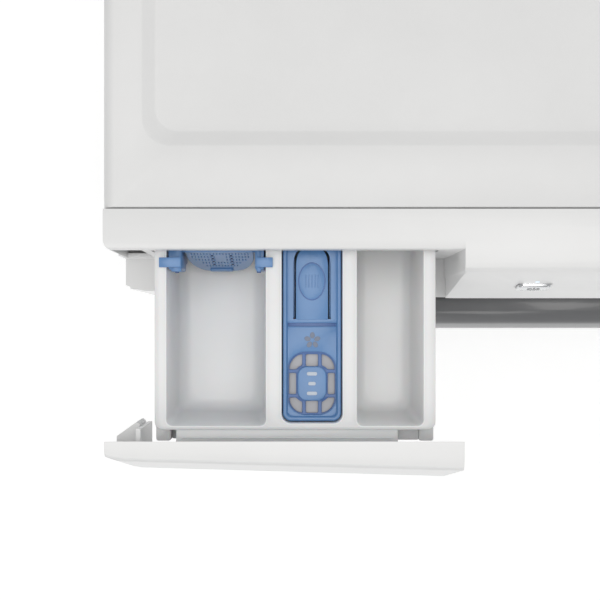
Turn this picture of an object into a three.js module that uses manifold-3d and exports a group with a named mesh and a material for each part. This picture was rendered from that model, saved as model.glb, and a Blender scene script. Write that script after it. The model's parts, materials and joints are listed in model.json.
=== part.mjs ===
// Front load washing machine: an assembly of separate pieces, drawn with the detergent drawer open.
// Millimetres. X to the right, Y to the back, Z up; the front of the machine faces -Y.
import * as THREE from "three";
import { mergeVertices } from "three/addons/utils/BufferGeometryUtils.js";
import Module from "manifold-3d";

const wasm = await Module();
wasm.setup();

// Driving dimensions
const WIDTH = 600;
const HEIGHT = 850;
const GAP = 0.3; // running gap between neighbouring pieces
const SHEET = 1.2; // sheet steel
const WALL = 2.5; // moulded plastic
const FRONT_REACH = 122.5; // from the notch wall to the front of the open drawer
const REAR_REACH = 548; // from the notch wall to the rearmost fitting
const NOTCH_Y = (FRONT_REACH - REAR_REACH) / 2;
const at = (p) => NOTCH_Y - p; // Y of the plane p in front of the notch wall

const CABINET = { half: 298, front: -5.3, rear: -533, bottom: 22, top: 821.7 };
const WORKTOP = { seam: -20.3, rear: -534, skirt: 822, board: 840, recess: 3 };
const FASCIA = { bottom: 754, topFront: 11.2, bottomFront: 22.2, back: -20 };
const NOTCH = { right: -120.3, floor: 756.5 };
const FRONT = { face: 17, bottom: 24, top: 753.7, recessR: 222, recessFace: 5.5, openingR: 161.8 };
const DRUM = { z: 440, radius: 240, front: -150, rear: 180 };
const TUB = { outer: 260, inner: 256, front: -168, split: -40, rear: 206 };
const DOOR = { radius: 215, hingeX: -224, hingeP: 26 };
const TRAY = { left: -275.8, right: -133.9, rear: -124.3, front: 90.7, rim: 835.5, bottom: 766 };
const DRAWER_BACK = 95.3;
const MOTOR = { x: 60, z: 121.6, radius: 58 };
const PULLEY = { drumR: 140, motorR: 12, y0: 246, y1: 262 };
const PUMP = { x: 205, z: 97 };
const RING = 36; // sides of the large round pieces

// ---- shapes ----

function box(x0, x1, y0, y1, z0, z1) {
  const size = [x1 - x0, y1 - y0, z1 - z0].map(Math.abs);
  return new THREE.BoxGeometry(...size).translate((x0 + x1) / 2, (y0 + y1) / 2, (z0 + z1) / 2);
}

function polygon(points) {
  return new THREE.Shape(points.map(([a, b]) => new THREE.Vector2(a, b)));
}

function roundRect(a0, a1, b0, b1, r) {
  return new THREE.Shape()
    .absarc(a1 - r, b0 + r, r, -Math.PI / 2, 0)
    .absarc(a1 - r, b1 - r, r, 0, Math.PI / 2)
    .absarc(a0 + r, b1 - r, r, Math.PI / 2, Math.PI)
    .absarc(a0 + r, b0 + r, r, Math.PI, Math.PI * 1.5);
}

function prism(shape, depth) {
  return new THREE.ExtrudeGeometry(shape, { depth, bevelEnabled: false, curveSegments: 2 });
}

const prismZ = (shape, z0, z1) => prism(shape, z1 - z0).translate(0, 0, z0);
// The shape is drawn in X and Z.
const prismY = (shape, y0, y1) => prism(shape, y1 - y0).rotateX(Math.PI / 2).translate(0, y1, 0);
// The shape is drawn in Y and Z.
function prismX(shape, x0, x1) {
  const turn = new THREE.Matrix4().set(0, 0, 1, 0, 1, 0, 0, 0, 0, 1, 0, 0, 0, 0, 0, 1);
  return prism(shape, x1 - x0).applyMatrix4(turn).translate(x0, 0, 0);
}

// A solid of revolution. The profile lists [radius, height along the axis].
function turned(profile, axis, [x, y, z], sides = 16) {
  const points = profile.map(([r, h]) => new THREE.Vector2(r, h));
  if (profile[0][0] > 0 || profile.at(-1)[0] > 0) points.push(points[0].clone());
  const made = new THREE.LatheGeometry(points, sides);
  if (axis === "z") made.rotateX(Math.PI / 2);
  if (axis === "x") made.rotateZ(-Math.PI / 2);
  return made.translate(x, y, z);
}

const rod = (r, h0, h1, axis, centre, sides) =>
  turned([[0, h0], [r, h0], [r, h1], [0, h1]], axis, centre, sides);
const pipe = (r0, r1, h0, h1, axis, centre, sides) =>
  turned([[r0, h0], [r1, h0], [r1, h1], [r0, h1]], axis, centre, sides);
const aroundDrum = (profile, sides = RING) => turned(profile, "y", [0, 0, DRUM.z], sides);

// A solid through cross-sections of [y, z] points that stand at the given X positions.
function loft(stations) {
  const count = stations[0].points.length;
  const position = stations.flatMap(({ x, points }) => points.flatMap(([y, z]) => [x, y, z]));
  const index = [];
  for (let s = 0; s + 1 < stations.length; s++)
    for (let i = 0; i < count; i++) {
      const [a, b] = [s * count + i, s * count + ((i + 1) % count)];
      index.push(a, b, a + count, b, b + count, a + count);
    }
  const cap = THREE.ShapeUtils.triangulateShape(polygon(stations[0].points).getPoints(), []);
  const last = (stations.length - 1) * count;
  const round = THREE.ShapeUtils.isClockWise(polygon(stations[0].points).getPoints());
  for (const [a, b, c] of cap) {
    const [p, q] = round ? [b, c] : [c, b];
    index.push(a, p, q, last + a, last + q, last + p);
  }
  const made = new THREE.BufferGeometry().setIndex(round ? index : flipped(index));
  return made.setAttribute("position", new THREE.Float32BufferAttribute(position, 3));
}

function flipped(index) {
  const out = [];
  for (let i = 0; i < index.length; i += 3) out.push(index[i], index[i + 2], index[i + 1]);
  return out;
}

// A path of straight runs whose corners are rounded off over the given length.
function bent(points, corner) {
  const path = new THREE.CurvePath();
  const p = points.map((v) => new THREE.Vector3(...v));
  let from = p[0];
  for (let i = 1; i < p.length - 1; i++) {
    const before = p[i - 1].clone().sub(p[i]).setLength(corner).add(p[i]);
    const after = p[i + 1].clone().sub(p[i]).setLength(corner).add(p[i]);
    path.add(new THREE.LineCurve3(from, before));
    path.add(new THREE.QuadraticBezierCurve3(before, p[i], after));
    from = after;
  }
  path.add(new THREE.LineCurve3(from, p.at(-1)));
  return path;
}

// A round section swept along a path; a bore of 0 leaves it solid.
function swept(path, radius, bore, steps, sides) {
  const shape = new THREE.Shape().absarc(0, 0, radius, 0, Math.PI * 2);
  if (bore) shape.holes.push(new THREE.Path().absarc(0, 0, bore, 0, Math.PI * 2, true));
  return new THREE.ExtrudeGeometry(shape, { steps, extrudePath: path, curveSegments: sides / 2 });
}

// ---- joins and cuts ----

function toSolid(geometry) {
  const flat = geometry.index ? geometry.toNonIndexed() : geometry;
  const bare = new THREE.BufferGeometry().setAttribute("position", flat.getAttribute("position"));
  const merged = mergeVertices(bare, 1e-4);
  const found = Array.from(merged.index.array);
  const triangles = [];
  for (let i = 0; i < found.length; i += 3) {
    const [a, b, c] = found.slice(i, i + 3);
    if (a !== b && b !== c && c !== a) triangles.push(a, b, c);
  }
  const build = (index) =>
    new wasm.Manifold(
      new wasm.Mesh({
        numProp: 3,
        vertProperties: merged.attributes.position.array,
        triVerts: new Uint32Array(index),
      }),
    );
  const made = build(triangles);
  return made.volume() < 0 ? build(flipped(triangles)) : made;
}

function toGeometry(solid) {
  const { vertProperties, triVerts, numProp } = solid.getMesh();
  const position = [];
  for (let i = 0; i < vertProperties.length; i += numProp)
    position.push(vertProperties[i], vertProperties[i + 1], vertProperties[i + 2]);
  return new THREE.BufferGeometry()
    .setAttribute("position", new THREE.Float32BufferAttribute(position, 3))
    .setIndex(Array.from(triVerts));
}

const join = (...pieces) => toGeometry(pieces.map(toSolid).reduce((a, b) => a.add(b)));
const cut = (body, ...tools) =>
  toGeometry(tools.map(toSolid).reduce((a, b) => a.subtract(b), toSolid(body)));

const mirrored = (make) => [-1, 1].map(make);

// ---- base and cabinet ----

const FEET = [-255, 255].flatMap((x) => [-55, -490].map((p) => [x, at(p)]));

function baseFrame() {
  const { half, rear } = CABINET;
  const edge = half - SHEET - 0.4;
  const frame = box(-edge, edge, at(-6.9), at(rear + SHEET + 0.3), 22, 48);
  const front = box(-228, 228, at(-70), 0, 20, 50);
  const back = box(-228, 228, 40, at(-470), 20, 50);
  const studs = FEET.map(([x, y]) => rod(5.4, 20, 50, "z", [x, y, 0], 12));
  const seats = mirrored((s) => box(s * 185, s * 215, 5, 35, 47, 58));
  return join(cut(frame, front, back, ...studs), ...seats);
}

function foot([x, y]) {
  const pad = [[0, 0], [20, 0], [22, 3], [22, 7], [10, 12], [5, 12], [5, 62], [0, 62]];
  const nut = rod(10.5, 13, 21.6, "z", [x, y, 0], 6);
  return join(turned(pad, "z", [x, y, 0], 12), nut);
}

// Fittings that pass the rear panel: [x, z, radius of the hole]
const REAR_HOLES = { inlet: [-232, 792, 14.3], drain: [225, 792, 13.3], mains: [225, 735, 9.3] };

function cabinetShell() {
  const { half, front, rear, bottom, top } = CABINET;
  const inner = half - SHEET;
  const [fore, back] = [at(front), at(rear)];
  const wrap = prismZ(
    polygon([
      [-half, fore], [-inner, fore], [-inner, back - SHEET], [inner, back - SHEET], [inner, fore],
      [half, fore], [half, back], [-half, back],
    ]),
    bottom, top,
  );
  const step = box(-301, 301, fore - 1, at(WORKTOP.seam - GAP), 750, top + 1);
  const openings = [
    prismY(roundRect(-185, 185, 145, 655, 30), back - 5, back + 5),
    ...Object.values(REAR_HOLES).map(([x, z, r]) => rod(r, back - 5, back + 5, "y", [x, 0, z])),
  ];
  const folds = mirrored((s) => [
    box(s * 268, s * (half - 0.4), fore, fore + SHEET, bottom + 2, 748),
    box(s * 244, s * (half - 0.4), SPRING.y - 15, SPRING.y + 15, 795, 798),
  ]).flat();
  const beam = [
    box(-inner - 0.5, inner + 0.5, fore + 0.6, at(-20), 740, 742),
    box(-inner - 0.5, inner + 0.5, fore, fore + SHEET, 716, 742),
  ];
  return join(cut(wrap, step, ...openings), ...folds, ...beam);
}

function rearServiceCover() {
  const back = at(CABINET.rear) + GAP;
  const flange = prismY(roundRect(-200, 200, 130, 670, 40), back, back + SHEET);
  const dome = prismY(roundRect(-172, 172, 158, 642, 34), back, back + 13);
  const hollow = prismY(roundRect(-170.8, 170.8, 159.2, 640.8, 33), back - 1, back + 13 - SHEET);
  return cut(join(flange, dome), hollow);
}

const LATCH = { x: 190, z: DRUM.z };

function frontPanel() {
  const { face, bottom, top, recessR, recessFace, openingR } = FRONT;
  const half = CABINET.half;
  const shell = cut(
    box(-half, half, at(face), at(-5), bottom, top),
    box(-half + SHEET, half - SHEET, at(face - SHEET), at(-6), bottom + SHEET, top - SHEET),
    rod(recessR + 2, at(face + 5), at(-4), "y", [0, 0, DRUM.z], RING),
  );
  const [y0, y1] = [at(face), at(recessFace)];
  const dish = aroundDrum([
    [recessR + 4, y0], [recessR, y0], [recessR - 3, y1], [openingR, y1], [openingR, -211],
    [openingR + SHEET, -211], [openingR + SHEET, y1 + SHEET], [recessR - 2, y1 + SHEET],
    [recessR + 1, y0 + SHEET], [recessR + 4, y0 + SHEET],
  ]);
  const slot = box(183, 199, -225, -210, 424, 456);
  const hatch = box(138, 272, at(face + 3), at(face - 4), 58, 137);
  return cut(join(shell, dish), slot, hatch);
}

function worktop() {
  const { seam, rear, skirt, board, recess } = WORKTOP;
  const half = WIDTH / 2;
  const body = prismX(
    polygon([
      [at(seam), skirt], [at(rear), skirt], [at(rear), HEIGHT - 4],
      [at(rear) - 4, HEIGHT], [at(seam), HEIGHT],
    ]),
    -half, half,
  );
  const under = box(-half + 12, half - 12, at(seam) - 1, at(rear) - 12, skirt - 1, board);
  const edges = mirrored((s) =>
    prismY(
      polygon([[s * (half + 1), HEIGHT + 1], [s * (half - 5), HEIGHT + 1], [s * (half + 1), 845]]),
      at(seam) - 1, at(rear) + 1,
    ),
  );
  const dip = loft(
    [[-281, 0.05], [-274, recess], [274, recess], [281, 0.05]].map(([x, d]) => ({
      x,
      points: [
        [at(-51), HEIGHT + 1], [at(-51), HEIGHT], [at(-51 - 8 * (d / recess)), HEIGHT - d],
        [at(-508), HEIGHT - d], [at(-514), HEIGHT], [at(-514), HEIGHT + 1],
      ],
    })),
  );
  return cut(body, under, ...edges, dip);
}

// ---- control panel ----

const STATIONS = [-300, -297, -290, -262, -190, -112, 112, 190, 262, 290, 297, 300];

// How far the front of the control panel falls back towards the corners of the machine.
function fallBack(x) {
  const side = Math.max(0, (Math.abs(x) - 112) / 188);
  const corner = Math.max(0, (Math.abs(x) - 287) / 13);
  return 4 * side ** 1.5 + 3 * corner ** 2;
}

function fasciaSection(x, inset) {
  const { bottom, topFront, bottomFront, back } = FASCIA;
  const fall = fallBack(x);
  const top = topFront - fall * 0.6 - inset;
  const low = bottomFront - fall - inset;
  const rear = inset ? back - 1 : back;
  return [
    [at(rear), HEIGHT - inset], [at(top - 6), HEIGHT - inset], [at(top - 2), HEIGHT - 1 - inset],
    [at(top), HEIGHT - 4.5 - inset], [at(low), bottom + 3 + inset * 0.5],
    [at(low - 2.5), bottom + inset], [at(rear), bottom + inset],
  ];
}

const SLOPE = Math.atan2(FASCIA.bottomFront - FASCIA.topFront, HEIGHT - 4.5 - FASCIA.bottom - 3);

// Sets a geometry, drawn about the origin with its face looking along -Y, on the sloping fascia.
function onFascia(geometry, x, z) {
  const fall = FASCIA.bottomFront - (z - FASCIA.bottom - 3) * Math.tan(SLOPE);
  return geometry.rotateX(-SLOPE).translate(x, at(fall), z);
}

const KNOB = { x: 0, z: 802, radius: 25 };
const DISPLAY = { x: 78, z: 802, width: 96, height: 44 };
const BUTTONS = [
  { name: "button_power", x: -78, half: 9 },
  { name: "button_options", x: 152, half: 12 },
  { name: "button_start_pause", x: 196, half: 14 },
];

function controlPanel() {
  const outer = loft(STATIONS.map((x) => ({ x, points: fasciaSection(x, 0) })));
  const inside = STATIONS.map((x) => Math.sign(x) * Math.min(Math.abs(x), 297.5));
  const hollow = loft(
    inside
      .filter((x, i) => i === 0 || x - inside[i - 1] > 0.1)
      .map((x) => ({ x, points: fasciaSection(x, WALL) })),
  );
  const space = cut(hollow, box(-301, NOTCH.right + WALL, at(-WALL), at(60), 740, 860));
  const notch = prismZ(
    polygon([
      [-301, at(0)], [NOTCH.right, at(0)], [NOTCH.right, at(10.3)], [-119.4, at(11.3)],
      [-119.4, at(60)], [-301, at(60)],
    ]),
    NOTCH.floor, HEIGHT + 1,
  );
  const doorway = box(TRAY.left - 1.7, TRAY.right + 1.9, at(-4), at(1), 758.5, 837.5);
  const wingPocket = box(-297.4, -281.9, at(-4), at(1), 770, 839.5);
  const holes = [
    onFascia(rod(4.3, -5, 9, "y", [0, 0, 0]), KNOB.x, KNOB.z),
    onFascia(box(-47.7, 47.7, -5, 9, -21.7, 21.7), DISPLAY.x, DISPLAY.z),
    ...BUTTONS.map(({ x, half }) => onFascia(box(-half, half, -5, 9, -7, 7), x, KNOB.z)),
  ];
  return cut(cut(outer, space), notch, doorway, wingPocket, ...holes);
}

function controlBoard() {
  const board = onFascia(box(-100, 220, 17, 19, -30, 30), 0, KNOB.z);
  const encoder = onFascia(box(-11, 11, 8, 17.5, -11, 11), KNOB.x, KNOB.z);
  const screen = onFascia(box(-40, 40, 4, 17.5, -17, 17), DISPLAY.x, DISPLAY.z);
  const switches = BUTTONS.map(({ x }) => onFascia(box(-5, 5, 10.2, 17.5, -5, 5), x, KNOB.z));
  return join(board, encoder, screen, ...switches);
}

const displayWindow = () =>
  onFascia(prismY(roundRect(-47.4, 47.4, -21.4, 21.4, 3), 0, 3.4), DISPLAY.x, DISPLAY.z);

function programmeKnob() {
  const r = KNOB.radius;
  const body = turned(
    [
      [0, -16], [r - 6, -16], [r - 3.5, -15], [r - 2, -12], [r - 1, -0.4], [4, -0.4], [4, 7.6],
      [0, 7.6],
    ],
    "y", [0, 0, 0], 24,
  );
  const pointer = box(-1.2, 1.2, -17, -15.5, 8, 21);
  return onFascia(join(body, pointer), KNOB.x, KNOB.z);
}

function button({ x, half }) {
  const cap = prismY(roundRect(-half + GAP, half - GAP, -6.7, 6.7, 3), -1.8, 4);
  return onFascia(join(cap, box(-3, 3, 3, 8.4, -3, 3)), x, KNOB.z);
}

// ---- detergent drawer and its housing ----

function dispenserHousing() {
  const [x0, x1, z0, z1] = [-281, -128.5, 757, 839.5];
  const [front, rear] = [at(-2.8), at(-228)];
  const inside = box(x0 + 2, x1 - 2, front - 1, rear - 2, z0 + 2, z1 - 2);
  const shell = cut(box(x0, x1, front, rear, z0, z1), inside);
  const ledges = [
    box(x0 + 1, -272.2, front, rear - 1, 825.6, 830.4),
    box(-137.4, x1 - 1, front, rear - 1, 825.6, 830.4),
  ];
  const spout = pipe(10, 13, 728, z0 + 1, "z", [-200, -12.75, 0]);
  const drain = rod(10, 720, z0 + 3, "z", [-200, -12.75, 0]);
  return cut(join(shell, ...ledges, spout), drain);
}

// The three compartments: X from and to, floor height
const COMPARTMENTS = [[-269.7, -219.6, 775], [-211.5, -180.6, 772], [-173.3, -139.8, 780]];

function compartment([x0, x1, floor]) {
  const top = TRAY.rim + 1;
  return loft(
    [[x0, 820.5, 87.4], [x0 + 3, floor, 84.5], [x1 - 3, floor, 84.5], [x1, 820.5, 87.4]].map(
      ([x, low, front]) => ({
        x,
        points: [[at(-118), top], [at(88.5), top], [at(front), low], [at(-116), low]],
      }),
    ),
  );
}

function drawerTray() {
  const { left, right, rear, front, rim, bottom } = TRAY;
  const body = prismZ(
    polygon([
      [left, at(rear)], [left, at(front - 4)], [left + 4, at(front)], [right - 4, at(front)],
      [right, at(front - 4)], [right, at(rear)],
    ]),
    bottom, rim,
  );
  const trims = [
    box(left - 1, -271.7, at(rear - 1), at(front + 1), bottom - 1, 831),
    box(-137.8, right + 1, at(rear - 1), at(front + 1), bottom - 1, 831),
    box(-217.6, -213.5, at(rear + 3), at(front - 4), bottom - 1, 832.5),
    box(-178.6, -175.3, at(rear + 3), at(front - 4), bottom - 1, 832.5),
  ];
  const lugs = [
    box(-276, -268.5, at(front - 2), at(97), 800, 825),
    box(-141, -133.5, at(front - 2), at(97), 800, 825),
    box(-262, -152, at(front - 2), at(DRAWER_BACK - GAP), 812, 822),
  ];
  return join(cut(body, ...trims, ...COMPARTMENTS.map(compartment)), ...lugs);
}

function drawerFront() {
  const LEAN = 8.3; // how much further forward the foot of its back is than the top
  const section = (x, inset) => {
    const side = (x + 299.5) / 179.9;
    const corner = Math.max(0, (-290 - x) / 9.5) ** 2 * 2;
    const top = DRAWER_BACK + 10 + 4.9 * side - corner - inset;
    const low = DRAWER_BACK + 22 + 5.2 * side - corner - inset;
    const rear = inset ? DRAWER_BACK - 1 : DRAWER_BACK;
    return [
      [at(rear), HEIGHT - inset], [at(top - 6), HEIGHT - inset], [at(top - 2), HEIGHT - 1 - inset],
      [at(top), HEIGHT - 4.5 - inset], [at(low), NOTCH.floor + 3.4 + inset * 0.5],
      [at(low - 3), NOTCH.floor + 0.4 + inset], [at(rear + LEAN), NOTCH.floor + 0.4 + inset],
    ];
  };
  const xs = [-299.5, -296, -290, -240, -180, -120.7];
  const outer = loft(xs.map((x) => ({ x, points: section(x, 0) })));
  const inner = loft(
    [-297, -290, -240, -180, -123.2].map((x) => ({ x, points: section(x, WALL) })),
  );
  const wing = prismZ(
    polygon([[-297, at(102)], [-297, at(95)], [-286.6, at(87.6)], [-285, at(89)], [-285, at(102)]]),
    790, 820,
  );
  const rib = box(-285, -282.6, at(90), at(104), 780, 838);
  const neck = box(-262, -152, at(DRAWER_BACK), at(108), 812, 822);
  return join(cut(outer, inner), wing, rib, neck);
}

function siphonInsert() {
  const [x0, x1] = [-211.2, -180.9];
  const [rear, front] = [at(-7.5), at(86.6)];
  const outline = prismZ(roundRect(x0, x1, front, rear, 4), 821.5, 832.5);
  const hollow = box(x0 + 1.6, x1 - 1.6, front + 1.6, rear + 1, 821, 830.3);
  const release = box(-206, -187.6, at(34.2), rear + 1, 817, 834);
  const windows = [
    box(-200.2, -193.6, at(58.6), at(52), 829, 834),
    box(-200.2, -193.6, at(81.9), at(76), 829, 834),
    box(-208, -204.6, at(72.5), at(61.6), 829, 834),
    box(-189, -185, at(72.5), at(61.6), 829, 834),
  ];
  const stem = rod(5, 774, 830.5, "z", [-196, at(60 + 9), 0]);
  return join(cut(outline, hollow, release, ...windows), stem);
}

function releaseTongue() {
  const plate = box(-204.4, -189.2, at(33.8), at(-11), 829.8, 832.1);
  const pad = prismZ(roundRect(-203, -190.6, at(25), at(7), 5), 832, 833.2);
  const stop = box(-203, -190.6, at(-8.5), at(-11), 828, 834.2);
  return join(plate, pad, stop);
}

const FLAP = { x0: -260.6, x1: -226, p: -0.5, z: 832, tilt: Math.atan2(8.1, 49), height: 47 };

function flapHolder() {
  const arm = (x0, x1) =>
    prismX(
      polygon([[at(-2.6), 834.5], [at(10.4), 834.5], [at(10.4), 828], [at(4), 792], [at(-2.6), 792]]),
      x0, x1,
    );
  return join(
    arm(-267.4, -262.4),
    arm(-224.2, -221.9),
    box(-267.4, -221.9, at(-5.6), at(-2.4), 826, 834.5),
    box(-273.4, -262.4, at(3.5), at(8.4), TRAY.rim + GAP, 837.2),
    box(-266, -262.4, at(3.5), at(8.4), 834, 837.2),
    box(-224.2, -216, at(3.5), at(8.4), TRAY.rim + GAP, 837.2),
    box(-224.2, -221.9, at(3.5), at(8.4), 834, 837.2),
  );
}

function flapPlate() {
  const { x0, x1, p, z, tilt, height } = FLAP;
  const shape = new THREE.Shape()
    .moveTo(x0, 1.6)
    .lineTo(x0, -height + 12)
    .absarc(x0 + 12, -height + 12, 12, Math.PI, Math.PI * 1.5)
    .absarc(x1 - 12, -height + 12, 12, Math.PI * 1.5, Math.PI * 2)
    .lineTo(x1, 1.6);
  const plate = prismY(shape, -1, 1);
  const slots = [];
  for (let row = 0; row < 5; row++)
    for (const side of [-1, 0, 1])
      slots.push(box(-246.5 + side * 10, -240.5 + side * 10, -3, 3, -12 - row * 6, -9 - row * 6));
  const pins = rod(1.2, x0 - 1.2, x1 + 1.2, "x", [0, 0, 0], 8);
  return join(cut(plate, ...slots), pins).rotateX(-tilt).translate(0, at(p), z);
}

// ---- door ----

function doorFrame() {
  const skin = aroundDrum([
    [152, -238], [155, -246], [172, -250.6], [195, -251.65], [208, -248.5], [214, -242], [215, -234],
    [212, -224.8], [209, -224.8], [211.5, -234], [208, -240.5], [195, -247.5], [172, -246.5],
    [158.5, -242], [155.5, -238],
  ]);
  const { hingeX, hingeP } = DOOR;
  const grip = box(199, 220, -243, -220, 395, 485);
  const barrel = rod(5, 378, 502, "z", [hingeX, at(hingeP), 0], 16);
  const arm = box(hingeX, -200, at(28.4), at(23.6), 392, 488);
  const pin = rod(2.6, 370, 510, "z", [hingeX, at(hingeP), 0], 12);
  return cut(join(cut(skin, grip), barrel, arm), pin);
}

function doorRearFrame() {
  const ring = aroundDrum([
    [149.5, -227.6], [149.5, -222], [158, -219], [200, -219], [206, -222], [208, -226],
    [208, -227.6],
  ]);
  return cut(ring, box(184, 198, -230, -215, 430, 450));
}

const doorGlass = () =>
  aroundDrum([
    [0, -150], [105, -152], [130, -165], [143, -200], [147.5, -228], [160, -228], [160, -232],
    [144, -232], [138, -202], [126, -169], [103, -157], [0, -155],
  ]);

function latchHook() {
  const { x, z } = LATCH;
  return join(
    box(x - 2, x + 2, -225, -204, z - 7, z + 7),
    box(x + 1, x + 6, -208, -204, z - 7, z + 7),
    rod(3, z - 9, z + 9, "z", [x, -224.5, 0], 12),
  );
}

function hingeBracket() {
  const { hingeX, hingeP } = DOOR;
  const y = at(hingeP);
  const plate = box(-250, -232, at(19.8), at(FRONT.face + GAP), 366, 514);
  const lugs = [[368, 376], [504, 512]].flatMap(([z0, z1]) => [
    box(-250, hingeX, y - 4.5, at(18), z0, z1),
    rod(4.5, z0, z1, "z", [hingeX, y, 0], 16),
  ]);
  return join(plate, ...lugs, rod(2.2, 370, 510, "z", [hingeX, y, 0], 12));
}

function doorLock() {
  return cut(box(176, 208, -216.6, -198, 405, 475), box(181, 201, -218, -201, 422, 458));
}

// ---- tub ----

const doorGasket = () =>
  aroundDrum([
    [150, -217.6], [160.8, -217.6], [160.8, -209], [172.5, -204], [172.5, -196], [166, -190],
    [172.5, -184], [172.5, -168.4], [168.6, -168.4], [168.6, -180.6], [160.8, -190], [168, -198],
    [150, -210],
  ]);

const DAMPER = { x: 200, y: 20 };
const SPRING = { x: 258, y: 70, low: 572.3, high: 794.7 };
const SUMP = { x: 110, y: -135 };
const INLET = { x: -170, y: -12.75 };

function tubFront() {
  const { outer, inner, front, split } = TUB;
  const shell = aroundDrum([
    [165, -180], [168, -180], [168, front], [outer, front], [outer, split - 8], [268, split - 8],
    [268, split - GAP], [inner, split - GAP], [inner, front + 4], [165, front + 4],
  ]);
  const spigot = rod(20, 184, 215, "z", [SUMP.x, SUMP.y, 0], 16);
  const hole = rod(17, 180, 230, "z", [SUMP.x, SUMP.y, 0], 12);
  const inside = rod(inner, front + 4, split - 1, "y", [0, 0, DRUM.z], RING);
  const heaterSlot = box(-37, 37, front - 2, front + 6, 187, 200.6);
  return cut(join(shell, spigot), inside, hole, heaterSlot);
}

function tubRear() {
  const { outer, inner, split, rear } = TUB;
  const shell = aroundDrum([
    [outer, split], [268, split], [268, split + 8], [outer, split + 8], [outer, rear], [38, rear],
    [38, 238], [26.3, 238], [26.3, 220], [18, 220], [18, 214], [31.3, 214], [31.3, 190], [38, 190],
    [38, rear - 5], [inner, rear - 5], [inner, split],
  ]);
  const ribs = [];
  for (let i = 0; i < 6; i++)
    ribs.push(
      box(36.5, 250, rear - 1, rear + 16, -2, 2)
        .rotateY((i * Math.PI) / 3 + 0.3)
        .translate(0, 0, DRUM.z),
    );
  const ears = mirrored((s) => [
    box(s * 224, s * 272, SPRING.y - 15, SPRING.y + 15, 560, 572),
    box(s * 188, s * 212, 8, 32, 250, 290),
  ]).flat();
  const mount = box(MOTOR.x - 45, MOTOR.x + 45, 100, 190, 180, 205);
  const spigot = rod(13, 625, 665, "z", [INLET.x, INLET.y, 0]);
  const hole = rod(10, 600, 670, "z", [INLET.x, INLET.y, 0]);
  const inside = rod(inner + 2, split + 0.5, rear - 2, "y", [0, 0, DRUM.z], RING);
  return cut(join(shell, ...ribs, cut(join(...ears, mount, spigot), inside)), hole);
}

function counterweightFront() {
  const ring = aroundDrum([[178, -196], [250, -196], [250, -168.3], [178, -168.3]]);
  return cut(ring, box(-75, 75, -200, -160, 180, 300));
}

function counterweightTop() {
  const block = prismY(
    polygon([[-100, 650], [150, 650], [170, 690], [170, 735], [160, 745], [-90, 745], [-100, 735]]),
    -20, 150,
  );
  return cut(block, rod(TUB.outer + 1, -30, 160, "y", [0, 0, DRUM.z], RING));
}

function motor() {
  const { x, z, radius } = MOTOR;
  const body = turned(
    [
      [0, 78], [22, 78], [22, 90], [radius - 6, 90], [radius, 98], [radius, 196], [radius - 8, 206],
      [20, 206], [20, 230], [6.5, 230], [6.5, 212], [0, 212],
    ],
    "y", [x, 0, z], 20,
  );
  return join(body, box(x - 42, x + 42, 104, 186, z + 30, 179.7));
}

function heater() {
  const z = 193.8;
  const path = new THREE.CurvePath();
  const [v, arc] = [(x, y) => new THREE.Vector3(x, y, z), 30 * 0.5523];
  path.add(new THREE.LineCurve3(v(-30, -170), v(-30, 40)));
  path.add(new THREE.CubicBezierCurve3(v(-30, 40), v(-30, 40 + arc), v(-arc, 70), v(0, 70)));
  path.add(new THREE.CubicBezierCurve3(v(0, 70), v(arc, 70), v(30, 40 + arc), v(30, 40)));
  path.add(new THREE.LineCurve3(v(30, 40), v(30, -170)));
  const flange = box(-46, 46, -171.5, -168.3, 182, 205);
  const tags = [-30, 30].map((x) => box(x - 3, x + 3, -180, -171, 190, 198));
  return join(swept(path, 4, 0, 24, 6), flange, ...tags);
}

const bearingFront = () => pipe(15.3, 30.8, 192, 213.6, "y", [0, 0, DRUM.z], 20);
const bearingRear = () => pipe(12.3, 25.8, 220.3, 236, "y", [0, 0, DRUM.z], 20);

function damperCylinder(s) {
  return turned(
    [[0, 58.3], [14, 58.3], [14, 205], [9.4, 205], [9.4, 80], [0, 80]],
    "z", [s * DAMPER.x, DAMPER.y, 0], 20,
  );
}

const damperRod = (s) => rod(8.6, 104, 249.7, "z", [s * DAMPER.x, DAMPER.y, 0], 20);

function spring(s) {
  const { x, y, low, high } = SPRING;
  const points = [];
  const turns = 7;
  const around = 6;
  for (let i = 0; i <= turns * around; i++) {
    const angle = (i / around) * 2 * Math.PI;
    const along = low + 26 + ((high - low - 52) * i) / (turns * around);
    const reach = 11;
    points.push(new THREE.Vector3(s * x + reach * Math.cos(angle), y + reach * Math.sin(angle), along));
  }
  points.unshift(new THREE.Vector3(s * x, y, low), new THREE.Vector3(s * x, y, low + 16));
  points.push(new THREE.Vector3(s * x, y, high - 16), new THREE.Vector3(s * x, y, high));
  return swept(new THREE.CatmullRomCurve3(points), 1.9, 0, 52, 4);
}

// The outline of a belt round both pulleys, in X and Z, at the given clearances from their centres.
function beltOutline(big, small) {
  const [dx, dz] = [MOTOR.x, MOTOR.z - DRUM.z];
  const towards = Math.atan2(dz, dx);
  const wrap = Math.acos((big - small) / Math.hypot(dx, dz));
  const points = [];
  const arc = (cx, cz, r, from, to, steps) => {
    for (let i = 0; i <= steps; i++) {
      const a = from + ((to - from) * i) / steps;
      points.push([cx + r * Math.cos(a), cz + r * Math.sin(a)]);
    }
  };
  arc(0, DRUM.z, big, towards + wrap, towards - wrap + 2 * Math.PI, 36);
  arc(MOTOR.x, MOTOR.z, small, towards - wrap, towards + wrap, 8);
  return points;
}

function belt() {
  const shape = polygon(beltOutline(PULLEY.drumR + 3.9, PULLEY.motorR + 4.2));
  const inner = polygon(beltOutline(PULLEY.drumR + 0.9, PULLEY.motorR + 1.2)).getPoints();
  shape.holes.push(new THREE.Path(inner));
  return prismY(shape, PULLEY.y0 + 2, PULLEY.y1 - 2);
}

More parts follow.
